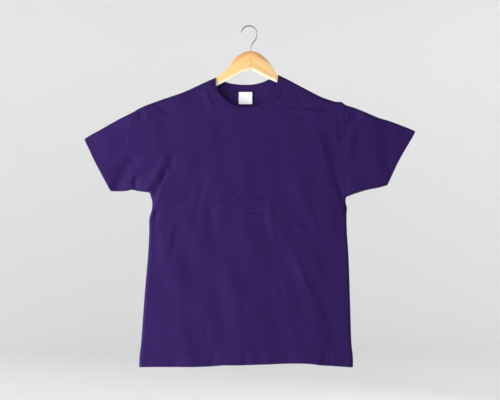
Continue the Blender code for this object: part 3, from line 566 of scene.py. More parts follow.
@dataclass
class Drape:
    """How far the cloth stands from the middle plane: its depth, its folds and its creases."""

    pattern: Pattern
    fold_radius: float = 8.0
    on_outline: float = 0.01
    cuff_flatness: float = 0.75
    flattening: tuple[float, float] = (260.0, 430.0)
    ripple_height: float = 0.42
    fold_share: float = 0.8
    crease_reach: float = 2.4
    neck_fade: tuple[float, float] = (1.0, 12.0)
    neck_reach: float = 20.0
    creases: dict[Side, tuple[Crease, ...]] = field(default_factory=lambda: {
        Side.FRONT: FRONT_CREASES, Side.BACK: BACK_CREASES,
    })
    levels: tuple[float, ...] = (-130, -260, -450, -700, -905)
    depths: dict[Side, tuple[float, ...]] = field(default_factory=lambda: {
        Side.FRONT: (10.3, 13.0, 16.5, 15.5, 13.5),
        Side.BACK: (10.0, 10.0, 10.5, 10.0, 9.6),
    })
    folds: dict[Side, tuple[Fold, ...]] = field(default_factory=lambda: {
        Side.FRONT: (
            Fold(((58, -470), (128, -625), (205, -830)), 30, 2.0),
            Fold(((86, -500), (158, -635), (228, -830)), 22, -1.2),
            Fold(((128, -400), (158, -487), (190, -585)), 24, 1.4),
            Fold(((178, -245), (220, -340), (252, -490)), 26, -1.5),
            Fold(((-258, -450), (-236, -400), (-216, -340)), 20, 2.4),
            Fold(((-242, -462), (-214, -398), (-205, -340)), 18, -1.3),
            Fold(((-256, -492), (-212, -477), (-150, -455)), 20, -2.0),
            Fold(((-240, -515), (-222, -560), (-226, -620)), 24, 2.0),
            Fold(((-312, -436), (-291, -392), (-238, -362)), 20, -2.0),
            Fold(((-362, -424), (-338, -385), (-306, -340)), 26, -1.5),
            Fold(((60, -222), (150, -214), (220, -226)), 20, -2.0),
            Fold(((262, -232), (268, -290), (262, -360)), 22, 2.5),
            Fold(((-120, -465), (-121, -515), (-118, -570)), 18, 0.9),
            Fold(((-76, -480), (-78, -520), (-74, -565)), 18, 0.7),
        ),
        Side.BACK: (
            Fold(((-200, -470), (-120, -600), (-60, -780)), 34, 2.0),
            Fold(((225, -470), (160, -590), (130, -720)), 30, 2.0),
            Fold(((-250, -470), (-215, -400), (-200, -330)), 26, -1.5),
            Fold(((245, -480), (205, -410), (190, -335)), 26, -1.5),
            Fold(((-40, -420), (10, -560), (0, -720)), 36, 2.0),
        ),
    })

    def __post_init__(self) -> None:
        """Draw the waves of the cloth's unevenness, the same ones each time."""
        draw = np.random.default_rng(7)
        self.waves = {}
        for side in Side:
            lengths = np.concatenate([draw.uniform(70, 190, 9), draw.uniform(26, 60, 8)])
            heights = np.concatenate([np.full(9, self.ripple_height), np.full(8, self.ripple_height / 5)])
            angles, phases = draw.uniform(0, math.pi, 17), draw.uniform(0, 2 * math.pi, 17)
            self.waves[side] = list(zip(lengths, heights, angles, phases))

    def base(self, points: Points, side: Side) -> np.ndarray:
        """Find how deep the shirt is before any fold.

        Args:
            points: Points of the front plane.
            side: Side of the shirt.

        Returns:
            Distances from the middle plane to the outer face.
        """
        z = np.clip(points[:, 1], self.levels[-1], self.levels[0])
        depth = np.zeros(len(points))
        values = self.depths[side]
        for upper, lower, start, end in zip(self.levels, self.levels[1:], values, values[1:]):
            held = (z <= upper) & (z >= lower)
            depth[held] = start + (end - start) * smoothstep(upper, lower, z[held])
        flat = smoothstep(*self.flattening, np.abs(points[:, 0]))
        return depth * (1 - (1 - self.cuff_flatness) * flat)

    def warped(self, points: Points) -> Points:
        """Move points a little, so that creases waver along their lines.

        Args:
            points: Points of the front plane.

        Returns:
            The moved points.
        """
        x, z = points[:, 0], points[:, 1]
        shift_x = 1.9 * np.sin(z / 17 + x / 41) + 1.1 * np.sin(z / 7.3 - x / 23)
        shift_z = 1.9 * np.sin(x / 19 - z / 37) + 1.1 * np.sin(x / 8.1 + z / 29)
        return points + np.stack([shift_x, shift_z], 1)

    def creased(self, points: Points, side: Side) -> np.ndarray:
        """Sum of the creases, which die out towards the neckband.

        Args:
            points: Points of the front plane.
            side: Side of the shirt.

        Returns:
            Heights, outwards.
        """
        total = np.zeros(len(points))
        moved = self.warped(points)
        for crease in self.creases[side]:
            reach = self.crease_reach * max(crease.left, crease.right)
            held = points if crease.pressed else moved
            distance, share = Curve(crease.path).nearest(held, reach)
            near = np.abs(distance) < reach
            d, s = distance[near], share[near]
            across = bell(d, np.where(d < 0, crease.left, crease.right))
            start = smoothstep(0, crease.fade_in, s) if crease.fade_in else 1.0
            end = smoothstep(0, crease.fade_out, 1 - s) if crease.fade_out else 1.0
            total[near] += crease.height * across * start * end
        seam = np.abs(self.pattern.neck_seam[side].nearest(points, self.neck_reach)[0])
        return total * smoothstep(*self.neck_fade, seam)

    def relief(self, points: Points, side: Side, creased: bool) -> np.ndarray:
        """Sum of the folds, creases and ripples.

        Args:
            points: Points of the front plane.
            side: Side of the shirt.
            creased: Whether the piece has creases.

        Returns:
            Heights above the base face, outwards.
        """
        total = self.creased(points, side) if creased else np.zeros(len(points))
        for fold in self.folds[side]:
            distance, share = Curve(fold.path).nearest(points, fold.width)
            near = np.abs(distance) < fold.width
            across = (1 - (distance[near] / fold.width) ** 2) ** 2
            along = np.sqrt(np.clip(4 * share[near] * (1 - share[near]), 0, None))
            total[near] += self.fold_share * fold.height * across * along
        for length, height, angle, phase in self.waves[side]:
            along = points @ np.array([math.cos(angle), math.sin(angle)])
            total += height * np.sin(2 * math.pi * along / length + phase)
        return total

    def face(self, points: Points, side: Side, extra: np.ndarray | float = 0.0,
             creased: bool = True) -> np.ndarray:
        """Place the cloth's outer face.

        Args:
            points: Points of the front plane.
            side: Side of the shirt.
            extra: What the face stands further out.
            creased: Whether the piece has creases.

        Returns:
            y of the outer face, which turns round to the middle plane at the outline.
        """
        inset = self.pattern.inset(points, self.fold_radius * 1.5)
        turn = 1 - np.minimum(inset / self.fold_radius, 1.0)
        depth = self.base(points, side) + self.relief(points, side, creased) + extra
        y = side.value * depth * np.sqrt(1 - turn**2)
        return np.where(inset < self.on_outline, 0.0, y)


# Shader tools


class Socket:
    """A value of a shader that can be used in arithmetic, which adds its Math nodes."""

    def __init__(self, shader: "Shader", output: bpy.types.NodeSocket) -> None:
        """Wrap an output.

        Args:
            shader: The shader that it belongs to.
            output: The output socket.
        """
        self.shader, self.output = shader, output

    def math(self, operation: str, *values: "Socket | float") -> "Socket":
        """Result of one Math node."""
        return self.shader.node("ShaderNodeMath", {"operation": operation}, dict(enumerate(values)))

    def __add__(self, other: "Socket | float") -> "Socket":
        """self + other."""
        return self.math("ADD", self, other)

    def __radd__(self, other: float) -> "Socket":
        """other + self."""
        return self.math("ADD", other, self)

    def __sub__(self, other: "Socket | float") -> "Socket":
        """self - other."""
        return self.math("SUBTRACT", self, other)

    def __rsub__(self, other: float) -> "Socket":
        """other - self."""
        return self.math("SUBTRACT", other, self)

    def __mul__(self, other: "Socket | float") -> "Socket":
        """self * other."""
        return self.math("MULTIPLY", self, other)

    def __rmul__(self, other: float) -> "Socket":
        """other * self."""
        return self.math("MULTIPLY", other, self)

    def __truediv__(self, other: "Socket | float") -> "Socket":
        """self / other."""
        return self.math("DIVIDE", self, other)

    def __rtruediv__(self, other: float) -> "Socket":
        """other / self."""
        return self.math("DIVIDE", other, self)

    def sine(self) -> "Socket":
        """Sine of the value, in radians."""
        return self.math("SINE", self)

    def size(self) -> "Socket":
        """The value without its sign."""
        return self.math("ABSOLUTE", self)

    def fraction(self) -> "Socket":
        """What is left above the next lower whole number."""
        return self.math("FRACT", self)


class Shader:
    """A material under construction, round one Principled shader."""

    def __init__(self, name: str, fixed: dict[str, float | tuple[float, ...]]) -> None:
        """Start a material.

        Args:
            name: The material's name.
            fixed: Sockets of the shader that are the same all over the surface.
        """
        self.material = bpy.data.materials.new(name)
        self.material.use_nodes = True
        self.tree = self.material.node_tree
        self.surface = self.tree.nodes["Principled BSDF"]
        self.connect(self.surface, fixed)

    def connect(self, node: bpy.types.Node, inputs: dict) -> None:
        """Set or link inputs of a node.

        Args:
            node: The node.
            inputs: Values or links, by the names or numbers of its sockets.
        """
        for key, value in inputs.items():
            if isinstance(value, Socket):
                self.tree.links.new(value.output, node.inputs[key])
            else:
                node.inputs[key].default_value = value

    def node(self, kind: str, settings: dict | None = None, inputs: dict | None = None,
             output: int | str = 0) -> Socket:
        """Add a node.

        Args:
            kind: Its type.
            settings: Its own settings; stops are the places and colours of a ramp.
            inputs: Values or links of its sockets, by name or number.
            output: The output that is wanted.

        Returns:
            That output.
        """
        node = self.tree.nodes.new(kind)
        settings = dict(settings or {})
        stops = settings.pop("stops", ())
        for key, value in settings.items():
            setattr(node, key, value)
        for index, (place, colour) in enumerate(stops):
            ramp = node.color_ramp.elements
            stop = ramp[index] if index < 2 else ramp.new(place)
            stop.position, stop.color = place, (*colour, 1.0)
        self.connect(node, inputs or {})
        return Socket(self, node.outputs[output])

    def place(self, turn: float = 0.0, scale: tuple[float, float, float] = (1, 1, 1)) -> Socket:
        """Find the place on the object, in metres.

        Args:
            turn: How far it is turned in the front plane, in radians.
            scale: What x, y and z are then multiplied by.

        Returns:
            The place.
        """
        place = self.node("ShaderNodeTexCoord", output="Object")
        turned = self.node("ShaderNodeVectorRotate", {"rotation_type": "Y_AXIS"},
                           {"Vector": place, "Angle": turn})
        return self.node("ShaderNodeVectorMath", {"operation": "MULTIPLY"}, {0: turned, 1: scale})

    def axes(self, place: Socket) -> tuple[Socket, Socket, Socket]:
        """The three numbers of a place."""
        split = self.node("ShaderNodeSeparateXYZ", inputs={0: place})
        return split, *(Socket(self, split.output.node.outputs[index]) for index in (1, 2))

    def noise(self, place: Socket, scale: float, detail: float = 2.0, rough: float = 0.5) -> Socket:
        """Soft noise from 0 to 1."""
        inputs = {"Vector": place, "Scale": scale, "Detail": detail, "Roughness": rough}
        return self.node("ShaderNodeTexNoise", {}, inputs)

    def ramp(self, value: Socket, stops: Sequence[tuple[float, Colour]]) -> Socket:
        """Colour that follows a value through stops."""
        return self.node("ShaderNodeValToRGB", {"stops": stops}, {0: value})

    def mix(self, factor: Socket | float, first: Socket | Colour, second: Socket | Colour,
            blend: str = "MIX") -> Socket:
        """Mix two colours.

        Args:
            factor: 0 for the first one, 1 for the second one.
            first: A colour or a link.
            second: A colour or a link.
            blend: How the second one is laid over the first one.

        Returns:
            The mixed colour.
        """
        colours = [c if isinstance(c, Socket) else (*c, 1.0) for c in (first, second)]
        return self.node("ShaderNodeMix", {"data_type": "RGBA", "blend_type": blend},
                         {0: factor, 6: colours[0], 7: colours[1]}, output=2)

    def bump(self, height: Socket, distance: float) -> Socket:
        """Normal that follows a height of so many metres."""
        return self.node("ShaderNodeBump", {}, {"Height": height, "Distance": distance, "Strength": 1.0})

    def finish(self, inputs: dict) -> bpy.types.Material:
        """Connect what varies over the surface, and return the material."""
        self.connect(self.surface, inputs)
        return self.material


COTTON = {
    "Metallic": 0.0, "Specular IOR Level": 0.12, "Sheen Weight": 0.04, "Sheen Roughness": 0.5,
    "Sheen Tint": (1.0, 0.95, 0.86, 1.0),
}


@dataclass(frozen=True)
class JerseyFinish:
    """Matt single jersey: fine columns of stitches with painted shade in the hollows between them, a soft nap
    and slight unevenness of the dye.
    """

    name: str
    dark: Colour = (0.0184, 0.0041, 0.0700)
    light: Colour = (0.0250, 0.0061, 0.0925)
    # gap: the darker colour of the painted shade in the knit's hollows
    gap: Colour = (0.0096, 0.0032, 0.036)
    wale: float = 0.0011
    course: float = 0.0009
    turn: float = 0.0
    knit_depth: float = 0.00011

    def material(self) -> bpy.types.Material:
        """Make the material.

        Returns:
            The material.
        """
        shader = Shader(self.name, COTTON)
        place = shader.place(self.turn)
        x, _, z = shader.axes(place)
        across = (x / self.wale).fraction() - 0.5
        lean = across.size() * 1.1
        rows = ((z / self.course + lean) * (2 * math.pi)).sine() * 0.5 + 0.5
        columns = 1 - (across.size() * 2)
        knit = rows * 0.45 + columns * 0.55
        nap = shader.noise(place, 900.0, 3.0, 0.6)
        cloud = shader.noise(place, 14.0, 3.0, 0.55)
        fleck = shader.noise(place, 320.0, 2.0, 0.5)
        colour = shader.mix(cloud * 0.55 + fleck * 0.45, self.dark, self.light)
        # Painted shade: the knit's hollows are darkened towards gap
        colour = shader.mix((1 - knit) * 0.22, colour, self.gap)
        height = knit * 0.8 + nap * 0.35
        return shader.finish({
            "Base Color": colour,
            "Roughness": nap * 0.14 + 0.58,
            "Normal": shader.bump(height, self.knit_depth),
        })


@dataclass(frozen=True)
class RibFinish:
    """Ribbed cotton of the neckband, whose ribs are in its mesh."""

    name: str = "rib"
    dark: Colour = (0.0170, 0.0038, 0.064)
    light: Colour = (0.0230, 0.0057, 0.084)
    nap_depth: float = 0.00014

    def material(self) -> bpy.types.Material:
        """Make the material.

        Returns:
            The material.
        """
        shader = Shader(self.name, COTTON)
        place = shader.place()
        nap = shader.noise(place, 1100.0, 3.0, 0.6)
        loops = shader.noise(place, 520.0, 1.0, 0.4)
        colour = shader.mix(nap * 0.6 + loops * 0.4, self.dark, self.light)
        return shader.finish({
            "Base Color": colour,
            "Roughness": nap * 0.14 + 0.60,
            "Normal": shader.bump(nap * 0.5 + loops * 0.5, self.nap_depth),
        })


@dataclass(frozen=True)
class ThreadFinish:
    """Twisted sewing thread, a shade lighter than what it holds, with painted shade in the grooves of its
    twist.
    """

    name: str
    colour: Colour
    twist: float = 0.0006
    twist_depth: float = 0.00008

    def material(self) -> bpy.types.Material:
        """Make the material.

        Returns:
            The material.
        """
        shader = Shader(self.name, {"Metallic": 0.0, "Specular IOR Level": 0.35})
        x, y, z = shader.axes(shader.place())
        turns = ((x + y + z * 0.7) * (2 * math.pi / self.twist)).sine() * 0.5 + 0.5
        # dark: the painted shade in the grooves of the twist
        dark = tuple(channel * 0.6 for channel in self.colour)
        return shader.finish({
            "Base Color": shader.mix(turns, dark, self.colour),
            "Roughness": 0.62 - turns * 0.1,
            "Normal": shader.bump(turns, self.twist_depth),
        })


@dataclass(frozen=True)
class LabelFinish:
    """White woven satin with fine crossed threads, with painted shade between them and slightly uneven tone.
    """

    name: str = "label"
    dark: Colour = (0.80, 0.79, 0.81)
    light: Colour = (0.96, 0.95, 0.97)
    thread: float = 0.00042
    thread_depth: float = 0.00006

    def material(self) -> bpy.types.Material:
        """Make the material.

        Returns:
            The material.
        """
        shader = Shader(self.name, {"Metallic": 0.0, "Specular IOR Level": 0.4, "Sheen Weight": 0.1})
        place = shader.place()
        x, _, z = shader.axes(place)
        warp = (x * (2 * math.pi / self.thread)).sine() * 0.5 + 0.5
        weft = (z * (2 * math.pi / (self.thread * 1.4))).sine() * 0.5 + 0.5
        weave = warp * 0.6 + weft * 0.4
        slub = shader.noise(place, 260.0, 2.0)
        return shader.finish({
            # Painted shade between the threads, and uneven tone from the slubs
            "Base Color": shader.mix(weave * 0.6 + slub * 0.4, self.dark, self.light),
            "Roughness": 0.62 - weave * 0.14,
            "Normal": shader.bump(weave, self.thread_depth),
        })


@dataclass(frozen=True)
class WoodFinish:
    """Varnished wood, with its grain along the arm and a deeper tone towards the crown."""

    name: str
    turn: float
    # Multiplies the colour; on the right arm it is painted shade, darker away from the light
    painted_shade_tint: Colour = (1.0, 1.0, 1.0)
    crown_tone: Colour = (0.98, 0.91, 0.80)
    crown: float = -0.104
    crown_fade: float = 0.034
    stops: tuple[tuple[float, Colour], ...] = (
        (0.12, (0.58, 0.25, 0.065)), (0.85, (0.85, 0.52, 0.215)),
        (0.45, (0.77, 0.41, 0.126)), (0.62, (0.82, 0.47, 0.168)),
    )
    grain_scale: tuple[float, float, float] = (7.0, 60.0, 60.0)
    fibre_scale: tuple[float, float, float] = (60.0, 1500.0, 1500.0)
    grain_depth: float = 0.00006

    def material(self) -> bpy.types.Material:
        """Make the material.

        Returns:
            The material.
        """
        shader = Shader(self.name, {"Metallic": 0.0, "Specular IOR Level": 0.45, "Coat Weight": 0.35,
                                    "Coat Roughness": 0.16})
        place = shader.place(self.turn, self.grain_scale)
        wander = shader.noise(place, 0.55, 3.0, 0.5)
        _, y, z = shader.axes(place)
        rings = ((z + y * 0.45 + wander * 5.5) * 2.1).sine() * 0.5 + 0.5
        fibre = shader.noise(shader.place(self.turn, self.fibre_scale), 1.0, 3.0, 0.6)
        cloud = shader.noise(place, 0.25, 2.0)
        grain = rings * 0.55 + fibre * 0.25 + cloud * 0.2
        colour = shader.mix(1.0, shader.ramp(grain, self.stops), self.painted_shade_tint, "MULTIPLY")
        _, _, height = shader.axes(shader.place())
        high = shader.node("ShaderNodeClamp", {}, {0: (height - self.crown) / self.crown_fade + wander - 0.5})
        deeper = shader.mix(1.0, colour, self.crown_tone, "MULTIPLY")
        return shader.finish({
            "Base Color": shader.mix(high, colour, deeper),
            "Roughness": 0.50 - grain * 0.16,
            "Normal": shader.bump(fibre * 0.6 + rings * 0.4, self.grain_depth),
        })


@dataclass(frozen=True)
class ChromeFinish:
    """Plated wire, bright with faint rubbed marks."""

    name: str = "chrome wire"
    dark: Colour = (0.17, 0.17, 0.18)
    light: Colour = (0.34, 0.34, 0.35)
    mark_depth: float = 0.00002

    def material(self) -> bpy.types.Material:
        """Make the material.

        Returns:
            The material.
        """
        shader = Shader(self.name, {"Metallic": 1.0})
        place = shader.place()
        marks = shader.noise(place, 420.0, 3.0, 0.6)
        return shader.finish({
            "Base Color": shader.mix(marks, self.dark, self.light),
            "Roughness": marks * 0.14 + 0.16,
            "Normal": shader.bump(marks, self.mark_depth),
        })


@dataclass(frozen=True)
class BackdropFinish:
    """Pale matt paper of the studio."""

    name: str = "studio paper"
    colour: Colour = (0.86, 0.86, 0.86)

    def material(self) -> bpy.types.Material:
        """Make the material.

        Returns:
            The material.
        """
        shader = Shader(self.name, {"Specular IOR Level": 0.1, "Roughness": 0.95})
        grain = shader.noise(shader.place(), 30.0, 2.0)
        return shader.finish({
            "Base Color": shader.mix(grain, tuple(c * 0.99 for c in self.colour), self.colour),
        })


# Meshes and pieces

# A row of stitches: its line, the line's length, the face that it lies on and its side
StitchLine = tuple[Border, float, Depth, Side]
# Distances from the folded outline at which the cloth gets rows of its own, to turn smoothly
FOLD_ROWS = (0.15, 0.6, 1.4, 2.4, 3.6, 5.0, 6.6, 8.6)


def make_object(name: str, points: np.ndarray, faces: Sequence[Sequence[int]],
                weld: float = 0.0) -> bpy.types.Object:
    """Make a smooth-shaded object.

    Args:
        name: Its name.
        points: Its vertices in millimetres.
        faces: Its faces, as vertex numbers.
        weld: Vertices closer than this, in millimetres, become one.

    Returns:
        The object, in the scene.
    """
    mesh = bpy.data.meshes.new(name)
    corners = [list(map(int, face)) for face in faces]
    mesh.from_pydata((np.asarray(points, float) * MM).tolist(), [], corners)
    if weld:
        bm = bmesh.new()
        bm.from_mesh(mesh)
        bmesh.ops.remove_doubles(bm, verts=bm.verts, dist=weld * MM)
        bm.to_mesh(mesh)
        bm.free()
    mesh.shade_smooth()
    obj = bpy.data.objects.new(name, mesh)
    bpy.context.scene.collection.objects.link(obj)
    return obj


def grid_faces(rows: int, columns: int, first: int = 0, flip: bool = False,
               closed: bool = False) -> list[list[int]]:
    """Number the faces of a grid of points.

    Args:
        rows: How many rows of points it has.
        columns: How many points each row has.
        first: Number of its first point.
        flip: Whether its faces are turned over.
        closed: Whether its last column joins its first one.

    Returns:
        The faces.
    """
    index = first + np.arange(rows * columns).reshape(rows, columns)
    if closed:
        index = np.hstack([index, index[:, :1]])
    quads = np.stack([index[:-1, :-1], index[:-1, 1:], index[1:, 1:], index[1:, :-1]], -1).reshape(-1, 4)
    return (quads[:, ::-1] if flip else quads).tolist()


def tube(rings: Sequence[Sequence[Sequence[float]]], first: int = 0) -> list[list[int]]:
    """Number the faces of a closed tube, with a face at each end.

    Args:
        rings: The rings of points, each with the same number of them.
        first: Number of the first point.

    Returns:
        The faces.
    """
    sides = len(rings[0])
    last = first + (len(rings) - 1) * sides
    faces = grid_faces(len(rings), sides, first, closed=True)
    return [*faces, list(range(first, first + sides)), list(range(last, last + sides))]


def face_out(obj: bpy.types.Object) -> None:
    """Turn all faces outwards.

    Args:
        obj: An object made of closed shapes.
    """
    bm = bmesh.new()
    bm.from_mesh(obj.data)
    bmesh.ops.recalc_face_normals(bm, faces=bm.faces)
    bm.to_mesh(obj.data)
    bm.free()


def add_wall(obj: bpy.types.Object, wall: float) -> None:
    """Thicken a cloth inwards by so many millimetres."""
    modifier = obj.modifiers.new("Wall", "SOLIDIFY")
    modifier.thickness, modifier.offset = wall * MM, -1.0


def settle(obj: bpy.types.Object, slot: str, node: str | None, *materials: bpy.types.Material) -> None:
    """Give a built piece its materials and its body.

    Args:
        obj: The piece.
        slot: Not used.
        node: The solid that it replaces, if there is one.
        materials: Its materials.
    """
    obj.data.materials.clear()
    for material in materials:
        obj.data.materials.append(material)
    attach(obj, BODY)
    if node:
        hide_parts(node)
    log.info("%s: %d faces", obj.name, len(obj.data.polygons))


@dataclass
class Sheet:
    """A cloth piece made of patches, thickened inwards, with rounded raw edges."""

    name: str
    node: str
    slot: str
    wall: float
    flat: tuple[float, float]
    area: float | None
    patches: list[tuple[Side, np.ndarray]]
    depths: dict[Side, Depth]
    edge: float = 0.3
    weld: float = 0.02
    edge_angle: float = 65.0

    def build(self) -> bpy.types.Object:
        """Make the mesh and its wall.

        Returns:
            The object.
        """
        points, faces = [], []
        for side, grid in self.patches:
            flat = grid.reshape(-1, 2)
            y = self.depths[side](flat)
            faces += grid_faces(*grid.shape[:2], len(points), side is Side.BACK)
            points += np.stack([flat[:, 0], y, flat[:, 1]], 1).tolist()
        obj = make_object(self.name, np.array(points), faces, self.weld)
        add_wall(obj, self.wall)
        rounding = obj.modifiers.new("Edge", "BEVEL")
        rounding.width, rounding.segments = self.edge * MM, 2
        rounding.limit_method, rounding.angle_limit = "ANGLE", math.radians(self.edge_angle)
        return obj

    def dress(self, obj: bpy.types.Object, material: bpy.types.Material, trims: Sequence[bpy.types.Object],
              rests_on: Sequence[str]) -> None:
        """Give it its cloth and its place, and log its cut size.

        Args:
            obj: The built piece.
            material: Its cloth.
            trims: Stitches that are sewn on it; not used.
            rests_on: What it hangs from; not used.
        """
        settle(obj, self.slot, self.node, material)
        log.info("%s: cut %.3f by %.3f m", self.name, *self.flat)


@dataclass(frozen=True)
class StitchRows:
    """Rows of stitches along an edge, each of which pulls a soft groove into the cloth."""

    insets: tuple[float, ...]
    groove: float = 0.32
    width: float = 1.3
    mean: float = 0.8
    swing: float = 0.35

    def pull(self, distance: np.ndarray, phase: np.ndarray | float = 0.0) -> np.ndarray:
        """Find how deep the grooves are.

        Args:
            distance: Distances from the edge.
            phase: Angles of their waver along the edge.

        Returns:
            The depths.
        """
        grooves = sum(self.groove * bell(distance - inset, self.width) for inset in self.insets)
        return grooves * (self.mean + self.swing * np.sin(phase))


@dataclass(frozen=True)
class ArmholeSeam:
    """The armhole seam: a groove that deepens at both ends, and faint puckers beside it."""

    groove: float = 0.2
    deeper: float = 0.5
    width: float = 2.6
    near_shoulder: tuple[float, float] = (0.72, 0.95)
    near_underarm: tuple[float, float] = (0.22, 0.04)
    pucker: float = 0.16
    pucker_inset: float = 5.0
    pucker_width: float = 3.0
    pucker_swing: float = 0.6
    pucker_waves: tuple[float, float] = (61.0, 23.0)

    def sink(self, distance: np.ndarray, along: np.ndarray) -> np.ndarray:
        """Depth of the groove at distances from the seam and shares of its length."""
        ends = smoothstep(*self.near_shoulder, along) + smoothstep(*self.near_underarm, along)
        return (self.groove + self.deeper * ends) * bell(distance, self.width)

    def rise(self, distance: np.ndarray, along: np.ndarray) -> np.ndarray:
        """Find the height of the puckers.

        Args:
            distance: Distances from the seam.
            along: Shares of its length.

        Returns:
            The heights.
        """
        short, long = (np.sin(along * wave) for wave in self.pucker_waves)
        beside = bell(np.abs(distance) - self.pucker_inset, self.pucker_width)
        return self.pucker * beside * (1 + self.pucker_swing * short * long)


@dataclass
class Stitches:
    """Rows of short raised stitches along lines on the cloth.

    Each stitch is a tube through rings. Columns: share of the pitch, lift as a share of proud, width as a
    share of the thread's.
    """

    name: str
    slot: str
    pitch: float = 3.1
    thread: float = 0.26
    proud: float = 0.16
    rings: tuple[tuple[float, float, float], ...] = (
        (0.08, -0.30, 0.5), (0.26, 0.6, 1.0), (0.62, 0.6, 1.0), (0.82, -0.30, 0.5),
    )
    sides: int = 6

    def build(self, rows: Sequence[StitchLine]) -> bpy.types.Object:
        """Make the stitches.

        Args:
            rows: The line, its length, the face that it lies on and its side, for each row.

        Returns:
            The object.
        """
        points, faces = [], []
        turns = np.arange(self.sides) * 2 * math.pi / self.sides
        for path, length, depth, side in rows:
            count = max(int(length / self.pitch), 2)
            starts = np.arange(count) / count
            stations = []
            for place, lift, _ in self.rings:
                flat = path(starts + place / count)
                y = depth(flat) + side.value * (self.proud * lift)
                stations.append(np.stack([flat[:, 0], y, flat[:, 1]], 1))
            along = stations[-1] - stations[0]
            along /= np.linalg.norm(along, axis=1)[:, None]
            across = np.cross(along, [0.0, float(side.value), 0.0])
            across /= np.linalg.norm(across, axis=1)[:, None]
            out = np.cross(across, along)
            for number in range(count):
                spokes = [across[number] * math.cos(turn) + out[number] * math.sin(turn) for turn in turns]
                rings = [[station[number] + spoke * self.thread * width for spoke in spokes]
                         for (_, _, width), station in zip(self.rings, stations)]
                faces += tube(rings, len(points))
                points += [point for ring in rings for point in ring]
        obj = make_object(self.name, np.array(points), faces)
        face_out(obj)
        return obj

    def dress(self, obj: bpy.types.Object, material: bpy.types.Material) -> bpy.types.Object:
        """Give the stitches their thread and place, and return them."""
        settle(obj, self.slot, None, material)
        return obj


